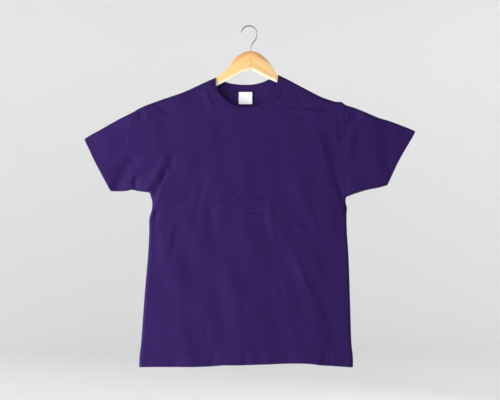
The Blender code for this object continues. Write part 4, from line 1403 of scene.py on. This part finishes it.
@dataclass
class Body:
    """Front and back panels, with their turned hems and stitching."""

    pattern: Pattern
    drape: Drape
    flat: tuple[float, float] = (0.568, 0.768)
    areas: dict[Side, float] = field(default_factory=lambda: {Side.FRONT: 0.396, Side.BACK: 0.401})
    wall: float = 0.9
    hem_reach: float = 60.0
    seam_reach: float = 30.0
    side_overlap: float = 0.3
    hem_step: float = 0.5
    hem_depth: float = 27.0
    hem_stitches: StitchRows = StitchRows((20.5, 26.0))
    hem_ends: tuple[float, float] = (0.012, 0.988)
    hem_waver: float = 5.1
    neck_stitches: StitchRows = StitchRows((3.6, 8.6), groove=0.224, mean=1.0, swing=0.0)
    neck_ends: tuple[float, float] = (0.035, 0.965)
    neck_stretch: float = 1.05
    neck_groove: float = 0.6
    neck_groove_width: float = 1.6
    armhole_seam: ArmholeSeam = ArmholeSeam()
    fold_rows: tuple[float, ...] = FOLD_ROWS
    seam_rows: tuple[float, ...] = (0.3, 0.9, 1.8, 2.9, 3.6, 4.4, 6.0, 7.6, 8.6, 9.6, 11.2)
    hem_lines: tuple[float, ...] = (0.5, 3, 7, 11, 15, 18, 19.4, 20.5, 21.6, 23.2, 24.9, 26, 27.1, 28.4, 30)
    underarm_rows: tuple[float, ...] = (1.0, 3.0)
    fine_below: float = 0.74

    def depth(self, side: Side, points: Points) -> np.ndarray:
        """Place a panel's outer face, with its hem, its seams and the pull of its stitches.

        Args:
            side: Side of the shirt.
            points: Points of the front plane.

        Returns:
            y of the face.
        """
        p = self.pattern
        hem, share = p.hem.nearest(points, self.hem_reach)
        hem = np.abs(hem)
        extra = self.hem_step * (1 - smoothstep(self.hem_depth - 1, self.hem_depth + 2, hem))
        extra -= self.hem_stitches.pull(hem, share * p.hem.length / self.hem_waver)
        seam = np.abs(p.neck_seam[side].nearest(points, self.seam_reach)[0])
        extra -= self.neck_groove * bell(seam, self.neck_groove_width)
        if side is Side.FRONT:
            extra -= self.neck_stitches.pull(seam)
        for hand in Hand:
            arm = p.armhole[hand].nearest(points, self.seam_reach)
            extra += self.armhole_seam.rise(*arm) - self.armhole_seam.sink(*arm)
        return self.drape.face(points, side, extra) - side.value * self.side_overlap / 2

    def below_arms(self, columns: Sequence[float], rows: Sequence[float]) -> np.ndarray:
        """Lay out a panel from its hem up to the line between the underarms."""
        p = self.pattern
        return patch(p.hem.at, p.underarm_line, p.side[Hand.LEFT].at, p.side[Hand.RIGHT].at, columns, rows)

    def panel(self, side: Side, grids: Sequence[np.ndarray]) -> Sheet:
        """Name a panel and state its cut."""
        node = f"{side.name.lower()}_panel"
        return Sheet(f"{node}_cloth", node, "jersey", self.wall, self.flat, self.areas[side],
                     [(side, grid) for grid in grids], {side: partial(self.depth, side)})

    def front(self) -> Sheet:
        """Cut the front panel: below the arms, up to the neck's corners, and a yoke on each side.

        Returns:
            The panel.
        """
        p, (left, right) = self.pattern, self.pattern.armhole.values()
        seam, corner = p.neck_seam[Side.FRONT], p.neck_corner
        left_columns = spread(52, 175, first=self.fold_rows, last=self.seam_rows)
        right_columns = spread(52, 175, first=self.seam_rows, last=self.fold_rows)
        columns = chained(p.front_split, left_columns, spread(58, 170), right_columns)
        lower = chained((self.fine_below,), spread(72, 340, first=self.hem_lines), spread(56, 120))
        chest = spread(48, 145, first=self.underarm_rows, last=self.seam_rows)
        yoke = spread(26, 75, last=self.fold_rows)
        yoke_left = line(left.at(p.yoke), seam.at(corner))
        yoke_right = line(seam.at(1 - corner), right.at(p.yoke))
        top = Joined(p.front_split, (yoke_left, seam.part(corner, 1 - corner), yoke_right))
        return self.panel(Side.FRONT, [
            self.below_arms(columns, lower),
            patch(p.underarm_line, top, left.part(0, p.yoke), right.part(0, p.yoke), columns, chest),
            patch(yoke_left, p.shoulder[Hand.LEFT], left.part(p.yoke, 1), seam.part(corner, 0),
                  left_columns, yoke),
            patch(yoke_right, p.shoulder[Hand.RIGHT], seam.part(1 - corner, 1), right.part(p.yoke, 1),
                  right_columns, yoke),
        ])

    def back(self) -> Sheet:
        """Cut the back panel, which reaches higher at the neck.

        Returns:
            The panel.
        """
        p, (left, right) = self.pattern, self.pattern.armhole.values()
        middle = spread(64, 205, first=self.seam_rows[:6], last=self.seam_rows[:6])
        columns = chained(p.back_split, spread(42, 175, first=self.fold_rows), middle,
                          spread(42, 175, last=self.fold_rows))
        rows = chained((p.yoke,), spread(36, 145, first=self.underarm_rows),
                       spread(22, 90, last=self.seam_rows))
        shoulder_left, shoulder_right = p.shoulder.values()
        top = Joined(p.back_split, (shoulder_left, p.neck_seam[Side.BACK].at, shoulder_right))
        return self.panel(Side.BACK, [
            self.below_arms(columns, spread(104, 460, first=self.hem_lines)),
            patch(p.underarm_line, top, left.at, right.at, columns, rows),
        ])

    def stitch_rows(self, side: Side, face: Depth) -> list[StitchLine]:
        """Lay out the stitches of a panel: along the hem, and under the neckband on the front.

        Args:
            side: Side of the shirt.
            face: The panel's outer face.

        Returns:
            The line, its length, the face that it lies on and its side, for each row.
        """
        hem, seam = self.pattern.hem, self.pattern.neck_seam[side]
        rows = [(partial(hem.beside, inset, self.hem_ends), hem.length, face, side)
                for inset in self.hem_stitches.insets]
        if side is Side.FRONT:
            length = seam.length * self.neck_stretch
            rows += [(partial(seam.beside, -inset, self.neck_ends), length, face, side)
                     for inset in self.neck_stitches.insets]
        return rows


@dataclass
class Sleeve:
    """A short sleeve: one tube, folded along its top and its underside, with a turned cuff."""

    pattern: Pattern
    drape: Drape
    hand: Hand
    flat: tuple[float, float]
    area: float
    wall: float = 0.9
    cuff_reach: float = 60.0
    seam_reach: float = 30.0
    hem_step: float = 0.5
    cuff_depth: float = 18.0
    cuff_stitches: StitchRows = StitchRows((12.0, 17.0), groove=0.3)
    cuff_ends: tuple[float, float] = (0.03, 0.97)
    cuff_waver: float = 31.0
    armhole_seam: ArmholeSeam = ArmholeSeam()
    lap: float = 0.1
    tuck: float = 1.0
    tuck_depth: float = 0.5
    cuff_lines: tuple[float, ...] = (0.5, 3, 6, 9, 10.8, 12, 13.2, 14.5, 15.8, 17, 18.2, 19.6, 22)
    armhole_lines: tuple[float, ...] = (0.3, 0.9, 1.8, 3.0, 4.5)
    fold_rows: tuple[float, ...] = FOLD_ROWS

    def depth(self, side: Side, points: Points) -> np.ndarray:
        """Place the outer face, with its cuff and the armhole seam, where it runs in under the panel.

        Args:
            side: Side of the shirt.
            points: Points of the front plane.

        Returns:
            y of the face.
        """
        p = self.pattern
        cuff, share = p.cuff[self.hand].nearest(points, self.cuff_reach)
        cuff = np.abs(cuff)
        extra = self.hem_step * (1 - smoothstep(self.cuff_depth - 1, self.cuff_depth + 2, cuff))
        extra -= self.cuff_stitches.pull(cuff, share * self.cuff_waver)
        arm, along = p.armhole[self.hand].nearest(points, self.seam_reach)
        extra -= self.armhole_seam.sink(arm, along)
        inward = np.where(np.isfinite(arm), arm * self.hand.value, -self.cuff_depth)
        extra -= self.tuck_depth * smoothstep(-0.3, self.tuck, inward)
        return self.drape.face(points, side, extra)

    def cut(self) -> Sheet:
        """Cut the sleeve.

        Returns:
            The sleeve.
        """
        p, hand = self.pattern, self.hand
        top = p.top[hand].part(1, p.seam_share[hand] + self.lap / p.top[hand].length)
        clear = self.lap / p.under[hand].length
        under = p.under[hand].part(*((0, 1 - clear) if hand is Hand.LEFT else (1, clear)))
        knots = [(x - hand.value * self.tuck, z) for x, z in p.armhole_knots[hand]]
        near, far = p.cuff[hand].at, Curve((under(1.0), *knots, top(1.0))).at
        rows = chained((p.yoke,), spread(34, 145, first=self.fold_rows), spread(18, 90, last=self.fold_rows))
        columns = spread(44, 150, first=self.cuff_lines, last=self.armhole_lines)
        if hand is Hand.RIGHT:
            under, top, near, far = backwards(under), backwards(top), far, near
            columns = [1 - share for share in reversed(columns)]
        grid = patch(under, top, near, far, columns, rows)
        name = f"sleeve_{hand.name.lower()}"
        return Sheet(f"{name}_cloth", name, "jersey", self.wall, self.flat, self.area,
                     [(side, grid) for side in Side], {side: partial(self.depth, side) for side in Side})

    def stitch_rows(self, sheet: Sheet) -> list[StitchLine]:
        """Lay out the stitches round the cuff.

        Args:
            sheet: The cut sleeve.

        Returns:
            The line, its length, the face that it lies on and its side, for each row.
        """
        cuff = self.pattern.cuff[self.hand]
        return [(partial(cuff.beside, self.hand.value * inset, self.cuff_ends), cuff.length,
                 sheet.depths[side], side)
                for inset in self.cuff_stitches.insets for side in Side]


@dataclass
class Neckband:
    """Ribbed band round the neck opening, over the hanger at both ends."""

    pattern: Pattern
    drape: Drape
    wall: float = 1.5
    flat: tuple[float, float] = (0.566, 0.0168)
    edge: float = 0.4
    proud: float = 0.3
    rib_pitch: float = 2.3
    rib_height: float = 0.22
    rib_fade: tuple[float, float] = (1.6, 1.0)
    columns_per_rib: int = 6
    lap: float = 1.2
    reach: float = 40.0
    seam_groove: float = 0.45
    seam_groove_width: float = 1.0
    rows: tuple[float, ...] = (0.0, 0.03, 0.07, 0.14, 0.3, 0.5, 0.7, 0.86, 0.95, 1.0)

    @property
    def lapped(self) -> float:
        """Width of the band with its lap, as a share of its width."""
        return 1 + self.lap / self.pattern.band_width

    def lower_border(self, side: Side, shares: np.ndarray) -> Points:
        """Find points of the border that laps over the seam, and meets the outline at both ends.

        Args:
            side: Side of the shirt.
            shares: Where the points lie, 0 to 1.

        Returns:
            The points.
        """
        p = self.pattern
        seam, edge = p.neck_seam[side], p.neck_edge[side]
        left, right = (p.top[hand].at(p.band_share[hand] * self.lapped) for hand in Hand)
        points = edge.at(shares) + (seam.at(shares) - edge.at(shares)) * self.lapped
        points = np.where((shares <= 0)[..., None], left, points)
        return np.where((shares >= 1)[..., None], right, points)

    def grid(self, side: Side) -> np.ndarray:
        """Lay out one side of the ring, with columns fine enough for its ribs.

        Args:
            side: Side of the shirt.

        Returns:
            Points of the front plane, as rows of columns.
        """
        p = self.pattern
        left, right = (p.top[hand].part(p.band_share[hand] * self.lapped, 0) for hand in Hand)
        count = round(p.neck_seam[side].length / self.rib_pitch) * self.columns_per_rib
        return patch(partial(self.lower_border, side), p.neck_edge[side].at, left, right,
                     list(np.linspace(0, 1, count + 1)), self.rows)

    def depth(self, side: Side, points: Points) -> np.ndarray:
        """Place the outer face, crowned across the band and ribbed along it.

        Args:
            side: Side of the shirt.
            points: Points of the front plane.

        Returns:
            y of the face.
        """
        p = self.pattern
        seam, _ = p.neck_seam[side].nearest(points, self.reach)
        edge, along = p.neck_edge[side].nearest(points, self.reach)
        seam, edge = seam + self.lap, np.abs(edge)
        across = np.clip(seam / (seam + edge + 1e-9), 0, 1)
        crown = self.proud * np.sqrt(np.clip(4 * across * (1 - across), 0, 1))
        middle = p.neck_edge[side].length * 0.5 + p.neck_seam[side].length * 0.5
        ribs = np.cos(along * 2 * math.pi * round(middle / self.rib_pitch))
        fade = smoothstep(0.0, self.rib_fade[0], seam) * smoothstep(0.0, self.rib_fade[1], edge)
        sink = self.seam_groove * bell(seam, self.seam_groove_width)
        extra = crown + self.rib_height * ribs * fade - sink
        return self.drape.face(points, side, extra, creased=False)

    def cut(self) -> Sheet:
        """Cut the band."""
        return Sheet("neckband_rib", "neckband", "rib", self.wall, self.flat, None,
                     [(side, self.grid(side)) for side in Side],
                     {side: partial(self.depth, side) for side in Side}, self.edge)


@dataclass
class Label:
    """Bare woven label, held by its top edge under the back of the neckband."""

    drape: Drape
    width: float = 36.0
    height: float = 32.6
    centre: tuple[float, float] = (-9.4, -189.4)
    wall: float = 0.45
    back_wall: float = 0.9
    curl: float = 1.5
    side_curl: float = 0.45
    sag: float = 0.6
    clear: float = 0.35
    wave: tuple[float, float] = (0.25, 3.7)
    cells: tuple[int, int] = (40, 34)

    def build(self, name: str) -> bpy.types.Object:
        """Make the label, which follows the cloth at its top and curls away below.

        Args:
            name: Its name.

        Returns:
            The object.
        """
        u, v = (np.linspace(-0.5, 0.5, count + 1) for count in self.cells)
        x, z = np.meshgrid(self.centre[0] + u * self.width, self.centre[1] + v * self.height)
        x = x + self.wave[0] * np.sin(z / self.wave[1])
        flat = np.stack([x.ravel(), z.ravel()], 1)
        inner = self.drape.face(flat, Side.BACK) - self.back_wall
        down = smoothstep(0.5, -0.5, (flat[:, 1] - self.centre[1]) / self.height)
        edge = np.abs(flat[:, 0] - self.centre[0]) / self.width * 2
        away = self.clear + self.curl * down**2 * (1 - self.side_curl + self.side_curl * edge**2)
        y = np.minimum(inner, float(inner.min()) + self.sag) - away
        obj = make_object(name, np.stack([flat[:, 0], y, flat[:, 1]], 1), grid_faces(*x.shape))
        add_wall(obj, self.wall)
        return obj

    def dress(self, obj: bpy.types.Object, material: bpy.types.Material) -> None:
        """Give the label its cloth and its place.

        Args:
            obj: The built label.
            material: Its cloth.
        """
        settle(obj, "label", "neck_label", material)
        self.width * MM
        self.height * MM


@dataclass
class HangerArm:
    """One wooden arm: rounded along its top, with a sloping strip along its lower edges.

    The table holds its heights where it shows. Columns: x, top, bottom. The end rounds it off. Columns:
    distance from the end, what is cut off both above and below.
    """

    pattern: Pattern
    hand: Hand
    table: tuple[tuple[float, float, float], ...]
    start: float
    reach: float
    joint_x: float = 4.4
    joint: tuple[float, float] = (-65.2, -115.0)
    gap: float = 0.02
    heights: tuple[float, float] = (21.4, 17.0)
    thickness: float = 11.2
    rounding: float = 4.4
    bevel: float = 8.0
    edge: float = 2.0
    drop: float = 2.1
    neck_drop: float = 2.6
    end: tuple[tuple[float, float], ...] = ((6.0, 0.6), (3.6, 1.5), (2.0, 2.6), (0.8, 4.2), (0.0, 6.2))
    hidden_sections: int = 9
    step: float = 2.0
    joint_round: float = 0.7
    joint_squeeze: float = 0.35
    joint_narrowing: float = 0.125
    # Width of the darker wood at the joint: a glue line with painted shade of the groove
    joint_glue_and_shade: float = 0.75
    hole_radius: float = 1.8
    hole_length: float = 30.0
    hole_middle: float = -69.5
    # Faces whose normals point down more steeply than this get the lighter wood, which paints the light from
    # below
    slope: float = -0.18
    sharp_angle: float = 50.0

    def sections(self) -> np.ndarray:
        """Find the heights of the arm from the joint to its end.

        Returns:
            Rows from the joint outwards. Columns: x, top, bottom.
        """
        outward = self.hand.value
        rows = [(self.joint_x + outward * self.gap, *self.joint), *self.table]
        last = self.reach - outward * self.end[0][0]
        count = self.hidden_sections
        stations = [(self.start + (last - self.start) * index / count, 0.0) for index in range(count)]
        stations += [(self.reach - outward * distance, cut) for distance, cut in self.end]
        for x, cut in stations:
            share = (x - self.start) / (self.reach - self.start)
            drop = self.neck_drop if abs(x - self.start) < self.pattern.band_width else self.drop
            top = self.pattern.top[self.hand].height_at(x) - drop
            height = self.heights[0] + (self.heights[1] - self.heights[0]) * share
            rows.append((x, top - cut, top - height + cut))
        return np.array(sorted(rows, key=lambda row: row[0] * outward))

    def profile(self, top: float, bottom: float) -> list[tuple[float, float]]:
        """Draw the arm's outline across.

        Args:
            top: Its highest z.
            bottom: Its lowest z.

        Returns:
            The closed outline: y and z.
        """
        half, height = self.thickness / 2, top - bottom
        rounding, bevel = min(self.rounding, height * 0.3), min(self.bevel, height * 0.4)
        slope = half - self.edge
        points = []
        for angle in np.radians(np.linspace(0, 90, 9)):
            points.append((half - rounding * (1 - math.sin(angle)), top - rounding * (1 - math.cos(angle))))
        for inset, lift in ((0.0, 1.6), (0.0, 0.5), (0.2, -0.2)):
            points.append((half - inset, bottom + bevel + lift))
        for out, lift in ((0.9, 0.72), (0.67, 0.35), (0.3, 0.09)):
            points.append((self.edge + slope * out, bottom + bevel * lift))
        points += [(self.edge, bottom + 0.1), (self.edge - 0.5, bottom)]
        return points + [(-y, z) for y, z in reversed(points)]

    def build(self, name: str) -> bpy.types.Object:
        """Loft the arm through finely spaced sections, and drill half of the hook's hole.

        Args:
            name: Its name.

        Returns:
            The object.
        """
        sections = self.sections()
        distance = np.abs(sections[:, 0] - sections[0, 0])
        even = np.linspace(0, distance[-1], int(distance[-1] / self.step))
        fine = np.unique([*even, *distance, self.joint_round / 2, self.joint_round])
        rings = []
        tops, bottoms = (smooth_line(distance, sections[:, column], fine) for column in (1, 2))
        for along, top, bottom in zip(fine, tops, bottoms):
            x = sections[0, 0] + self.hand.value * along
            squeeze = self.joint_squeeze * max(0.0, 1 - along / self.joint_round)
            ring = self.profile(top - squeeze, bottom + squeeze)
            rings.append([(x, y * (1 - squeeze * self.joint_narrowing), z) for y, z in ring])
        obj = make_object(name, np.concatenate(rings), tube(rings))
        face_out(obj)
        self.drill(obj)
        obj.data.set_sharp_from_angle(angle=math.radians(self.sharp_angle))
        return obj

    def drill(self, obj: bpy.types.Object) -> None:
        """Cut the hook's hole into the joint face.

        Args:
            obj: The arm.
        """
        place = Vector((self.joint_x, 0, self.hole_middle)) * MM
        bpy.ops.mesh.primitive_cylinder_add(vertices=32, radius=self.hole_radius * MM,
                                            depth=self.hole_length * MM, location=place)
        hole = bpy.context.object
        drill = obj.modifiers.new("Hole", "BOOLEAN")
        drill.operation, drill.solver, drill.object = "DIFFERENCE", "EXACT", hole
        bpy.context.view_layer.update()
        cut = bpy.data.meshes.new_from_object(obj.evaluated_get(bpy.context.evaluated_depsgraph_get()))
        obj.modifiers.clear()
        obj.data = cut
        bpy.data.objects.remove(hole)

    def dress(self, obj: bpy.types.Object, materials: Sequence[bpy.types.Material], node: str) -> None:
        """Give the arm its place, and each face its wood.

        Args:
            obj: The built arm.
            materials: Face wood, a lighter copy on the faces that look down, which paints the light from
                below, and darker wood at the joint, a glue line with painted shade of its groove.
            node: The solid that it replaces.
        """
        settle(obj, "wood", node, *materials)
        for face in obj.data.polygons:
            # Faces at the joint get the darker wood: a glue line with painted shade of the groove
            joint = abs(face.center.x - self.joint_x * MM) < self.joint_glue_and_shade * MM
            # Faces that look down get the lighter wood: painted light from below
            face.material_index = 2 if joint else 1 if face.normal.z < self.slope else 0


def smooth_line(places: np.ndarray, values: np.ndarray, wanted: np.ndarray) -> np.ndarray:
    """Smooth line through values without new highs or lows.

    Args:
        places: Where the values lie, rising.
        values: The values.
        wanted: Where the line is read.

    Returns:
        Its values there.
    """
    slopes = np.diff(values) / np.diff(places)
    product, total = slopes[:-1] * slopes[1:], slopes[:-1] + slopes[1:]
    inner = np.where(product > 0, 2 * product / (total + 1e-12), 0)
    ends = np.concatenate([[slopes[0]], inner, [slopes[-1]]])
    index = np.clip(np.searchsorted(places, wanted) - 1, 0, len(slopes) - 1)
    span = places[index + 1] - places[index]
    t = (wanted - places[index]) / span
    start, end = values[index], values[index + 1]
    return ((2 * t**3 - 3 * t**2 + 1) * start + (t**3 - 2 * t**2 + t) * span * ends[index]
            + (3 * t**2 - 2 * t**3) * end + (t**3 - t**2) * span * ends[index + 1])


@dataclass
class Hook:
    """One bent wire, open on the left, with a rounded tip."""

    wire: float = 3.2
    radius: float = 21.0
    tip: float = 167.0
    turn: float = -12.0
    steps: int = 60
    tip_rings: tuple[float, ...] = (6, 24, 45, 66)
    neck: Path = ((17.6, -34.2), (10.6, -43.4), (6.4, -52.2), (4.7, -60.5), (4.4, -68.0), (4.4, -84.0))
    neck_steps: int = 40
    sides: int = 20

    def build(self, name: str) -> bpy.types.Object:
        """Sweep the wire along its route.

        Args:
            name: Its name.

        Returns:
            The object.
        """
        half = self.wire / 2
        angles = np.radians(np.linspace(self.tip, self.turn, self.steps + 1))
        bow = np.stack([self.radius * np.cos(angles), half - self.radius + self.radius * np.sin(angles)], 1)
        neck = Curve((tuple(bow[-1]), *self.neck)).at(np.linspace(0, 1, self.neck_steps + 1)[1:])
        route = np.vstack([bow, neck])
        ahead = np.gradient(route, axis=0)
        ahead /= np.hypot(ahead[:, 0], ahead[:, 1])[:, None]
        stations = [(route[0] - ahead[0] * half * math.cos(a), math.sin(a) * half, ahead[0])
                    for a in np.radians(self.tip_rings)]
        stations += [(point, half, way) for point, way in zip(route, ahead)]
        turns = np.arange(self.sides) * 2 * math.pi / self.sides
        rings = []
        for point, radius, way in stations:
            sides = np.cos(turns) * radius
            rings.append(np.stack([point[0] - way[1] * sides, np.sin(turns) * radius,
                                   point[1] + way[0] * sides], 1))
        obj = make_object(name, np.concatenate(rings), tube(rings))
        face_out(obj)
        return obj

    def dress(self, obj: bpy.types.Object, material: bpy.types.Material) -> None:
        """Give the hook its plating and place."""
        settle(obj, "wire", "hanger_hook", material)


@dataclass(frozen=True)
class Lamp:
    """A square soft light."""

    name: str
    place: tuple[float, float, float]
    aim: tuple[float, float, float]
    size: float
    watts: float
    colour: Colour = (1.0, 1.0, 1.0)

    def build(self) -> None:
        """Add the light, turned to its aim."""
        data = bpy.data.lights.new(self.name, "AREA")
        data.size, data.energy, data.color = self.size, self.watts, self.colour
        lamp = bpy.data.objects.new(self.name, data)
        lamp.location = self.place
        lamp.rotation_euler = (Vector(self.aim) - Vector(self.place)).to_track_quat("-Z", "Y").to_euler()
        bpy.context.scene.collection.objects.link(lamp)


@dataclass
class Studio:
    """Pale floor that curves up all round, soft lights and the camera."""

    floor: float = -1.45
    radius: float = 7.0
    bend: float = 2.2
    wall: float = 3.6
    sides: int = 72
    floor_rings: tuple[float, ...] = (0.02, 0.2, 0.5, 0.8, 0.96, 1.0)
    bend_angles: tuple[float, float, int] = (4, 90, 22)
    aim: tuple[float, float, float] = (0.00265, -0.004, -0.4603)
    distance: float = 3.2
    field_width: float = 1.325
    sensor: float = 36.0
    sky: float = 0.09
    sky_colour: Colour = (0.97, 0.98, 1.0)
    lamps: tuple[Lamp, ...] = (
        Lamp("key", (-1.9, -1.2, 0.5), (0.0, 0.0, -0.5), 1.8, 57.0),
        Lamp("low", (-1.5, -0.9, -1.2), (-0.1, 0.0, -0.7), 1.0, 31.0),
        Lamp("front", (0.5, -2.6, 0.6), (0.0, 0.0, -0.35), 1.6, 14.0),
        Lamp("wall left", (-2.6, 2.2, 1.6), (-1.6, 6.8, -0.6), 2.0, 84.0),
        Lamp("wall right", (2.6, 2.2, 1.6), (1.6, 6.8, -0.6), 2.0, 84.0),
        Lamp("far wall left", (-2.6, -2.2, 1.6), (-1.6, -6.8, -0.6), 2.0, 46.0),
        Lamp("far wall right", (2.6, -2.2, 1.6), (1.6, -6.8, -0.6), 2.0, 46.0),
        Lamp("back", (1.4, 2.0, 0.4), (0.0, 0.0, -0.5), 1.4, 42.0),
    )

    def build(self) -> None:
        """Make the paper, the lights and the camera."""
        flat = self.radius - self.bend
        profile = [(flat * share, self.floor) for share in self.floor_rings]
        for angle in np.radians(np.linspace(*self.bend_angles)):
            profile.append((self.radius - self.bend * (1 - math.sin(angle)),
                            self.floor + self.bend * (1 - math.cos(angle))))
        profile.append((self.radius, self.floor + self.wall))
        turns = np.arange(self.sides) * 2 * math.pi / self.sides
        points = [(r * math.cos(a), r * math.sin(a), z) for r, z in profile for a in turns]
        faces = grid_faces(len(profile), self.sides, flip=True, closed=True) + [list(range(self.sides))]
        paper = make_object("studio_paper", np.array(points) / MM, faces)
        paper.data.materials.append(BackdropFinish().material())
        for lamp in self.lamps:
            lamp.build()
        world = bpy.data.worlds.new("studio")
        world.use_nodes = True
        sky = world.node_tree.nodes["Background"]
        sky.inputs["Color"].default_value = (*self.sky_colour, 1.0)
        sky.inputs["Strength"].default_value = self.sky
        bpy.context.scene.world = world
        bpy.context.scene.view_settings.view_transform = "Standard"
        self.camera()

    def camera(self) -> None:
        """Set the camera straight in front of the shirt, at the height of its middle."""
        data = bpy.data.cameras.new("camera")
        data.sensor_width = self.sensor
        data.lens = data.sensor_width * self.distance / self.field_width
        data.clip_end = 100.0
        camera = bpy.data.objects.new("camera", data)
        camera.location = Vector(self.aim) - Vector((0, self.distance, 0))
        camera.rotation_euler = (math.pi / 2, 0, 0)
        bpy.context.scene.collection.objects.link(camera)
        bpy.context.scene.camera = camera


# Heights of the hanger's arms where they show. Columns: x, top, bottom
ARM_TABLES: dict[Hand, tuple[tuple[float, float, float], ...]] = {
    Hand.LEFT: (
        (-8, -67.2, -119.0), (-20, -72.2, -123.7), (-31, -79.0, -129.4), (-43, -92.6, -135.7),
        (-51, -104.8, -139.9), (-60, -113.4, -144.6), (-70, -121.6, -149.8), (-80, -130.6, -155.0),
    ),
    Hand.RIGHT: (
        (14, -66.8, -119.6), (24, -70.2, -124.2), (38, -80.4, -131.4), (48, -89.8, -136.5),
        (55, -97.4, -140.2), (62.5, -109.2, -143.6), (69, -119.6, -146.4), (74, -128.4, -149.2),
    ),
}
# Where the shirt starts to hide them, and where they end
ARM_ENDS: dict[Hand, tuple[float, float]] = {Hand.LEFT: (-88.5, -223.0), Hand.RIGHT: (78.5, 227.0)}


@dataclass
class Shirt:
    """The sewn pieces, with what they share."""

    pattern: Pattern
    drape: Drape
    thread: bpy.types.Material
    arms: tuple[str, str] = ("hanger_arm_left_wood", "hanger_arm_right_wood")
    knit_lean: float = 1.1

    def neck(self) -> None:
        """Build and dress the neckband and the label."""
        sheet = Neckband(self.pattern, self.drape).cut()
        sheet.dress(sheet.build(), RibFinish().material(), [], self.arms)
        label = Label(self.drape)
        label.dress(label.build("neck_label_woven"), LabelFinish().material())

    def body(self) -> None:
        """Build and dress both panels with their stitching."""
        body = Body(self.pattern, self.drape)
        jersey = JerseyFinish("jersey").material()
        for sheet in (body.front(), body.back()):
            (side,) = sheet.depths
            obj = sheet.build()
            stitches = Stitches(f"{sheet.node}_stitches", "jersey")
            trim = stitches.dress(stitches.build(body.stitch_rows(side, sheet.depths[side])), self.thread)
            sheet.dress(obj, jersey, [trim], self.arms)

    def sleeves(self) -> None:
        """Build and dress both sleeves with their cuffs' stitching."""
        sizes = {Hand.LEFT: ((0.46, 0.182), 0.0563), Hand.RIGHT: ((0.49, 0.196), 0.0615)}
        for hand, arm in zip(Hand, self.arms):
            sleeve = Sleeve(self.pattern, self.drape, hand, *sizes[hand])
            sheet = sleeve.cut()
            obj = sheet.build()
            stitches = Stitches(f"{sheet.node}_stitches", "jersey")
            trim = stitches.dress(stitches.build(sleeve.stitch_rows(sheet)), self.thread)
            turn = -hand.value * self.knit_lean
            jersey = JerseyFinish(f"jersey {hand.name.lower()} sleeve", turn=turn).material()
            sheet.dress(obj, jersey, [trim], [arm])


def build_hanger(pattern: Pattern) -> None:
    """Build and dress the wooden arms and the hook.

    Args:
        pattern: The shirt's outline, which the arms follow where it hides them.
    """
    lean = math.radians(31)
    # The right arm's wood is darker: painted shade of the arm further from the light
    painted_shade_tints = {Hand.LEFT: (1.0, 1.0, 1.0), Hand.RIGHT: (0.88, 0.97, 1.0)}
    # Lighter wood for the faces that look down: painted light from below
    painted_underside_light = ((0.12, (0.93, 0.78, 0.52)), (0.85, (0.98, 0.93, 0.76)), (0.5, (0.96, 0.88, 0.66)))
    # Darker wood at the joint: a glue line with painted shade of its groove
    dark = ((0.12, (0.42, 0.22, 0.07)), (0.85, (0.66, 0.40, 0.16)))
    for hand in Hand:
        arm = HangerArm(pattern, hand, ARM_TABLES[hand], *ARM_ENDS[hand])
        name, turn = hand.name.lower(), -hand.value * lean
        woods = [
            WoodFinish(f"wood {name}", turn, painted_shade_tints[hand]).material(),
            WoodFinish(f"pale wood {name}", turn, crown_tone=(1.0, 1.0, 1.0), stops=painted_underside_light).material(),
            WoodFinish(f"joint {name}", turn, stops=dark).material(),
        ]
        arm.dress(arm.build(f"hanger_arm_{name}_wood"), woods, f"hanger_arm_{name}")
    hook = Hook()
    hook.dress(hook.build("hanger_hook_wire"), ChromeFinish().material())


def main() -> None:
    """Build every piece in order, then the studio."""
    logging.basicConfig(level=logging.INFO, format="%(name)s: %(message)s")
    pattern = Pattern()
    drape = Drape(pattern)
    thread = ThreadFinish("purple thread", (0.040, 0.016, 0.122)).material()
    build_hanger(pattern)
    shirt = Shirt(pattern, drape, thread)
    shirt.neck()
    shirt.body()
    shirt.sleeves()
    Studio().build()
    bpy.context.view_layer.update()


if __name__ == "__main__":
    main()
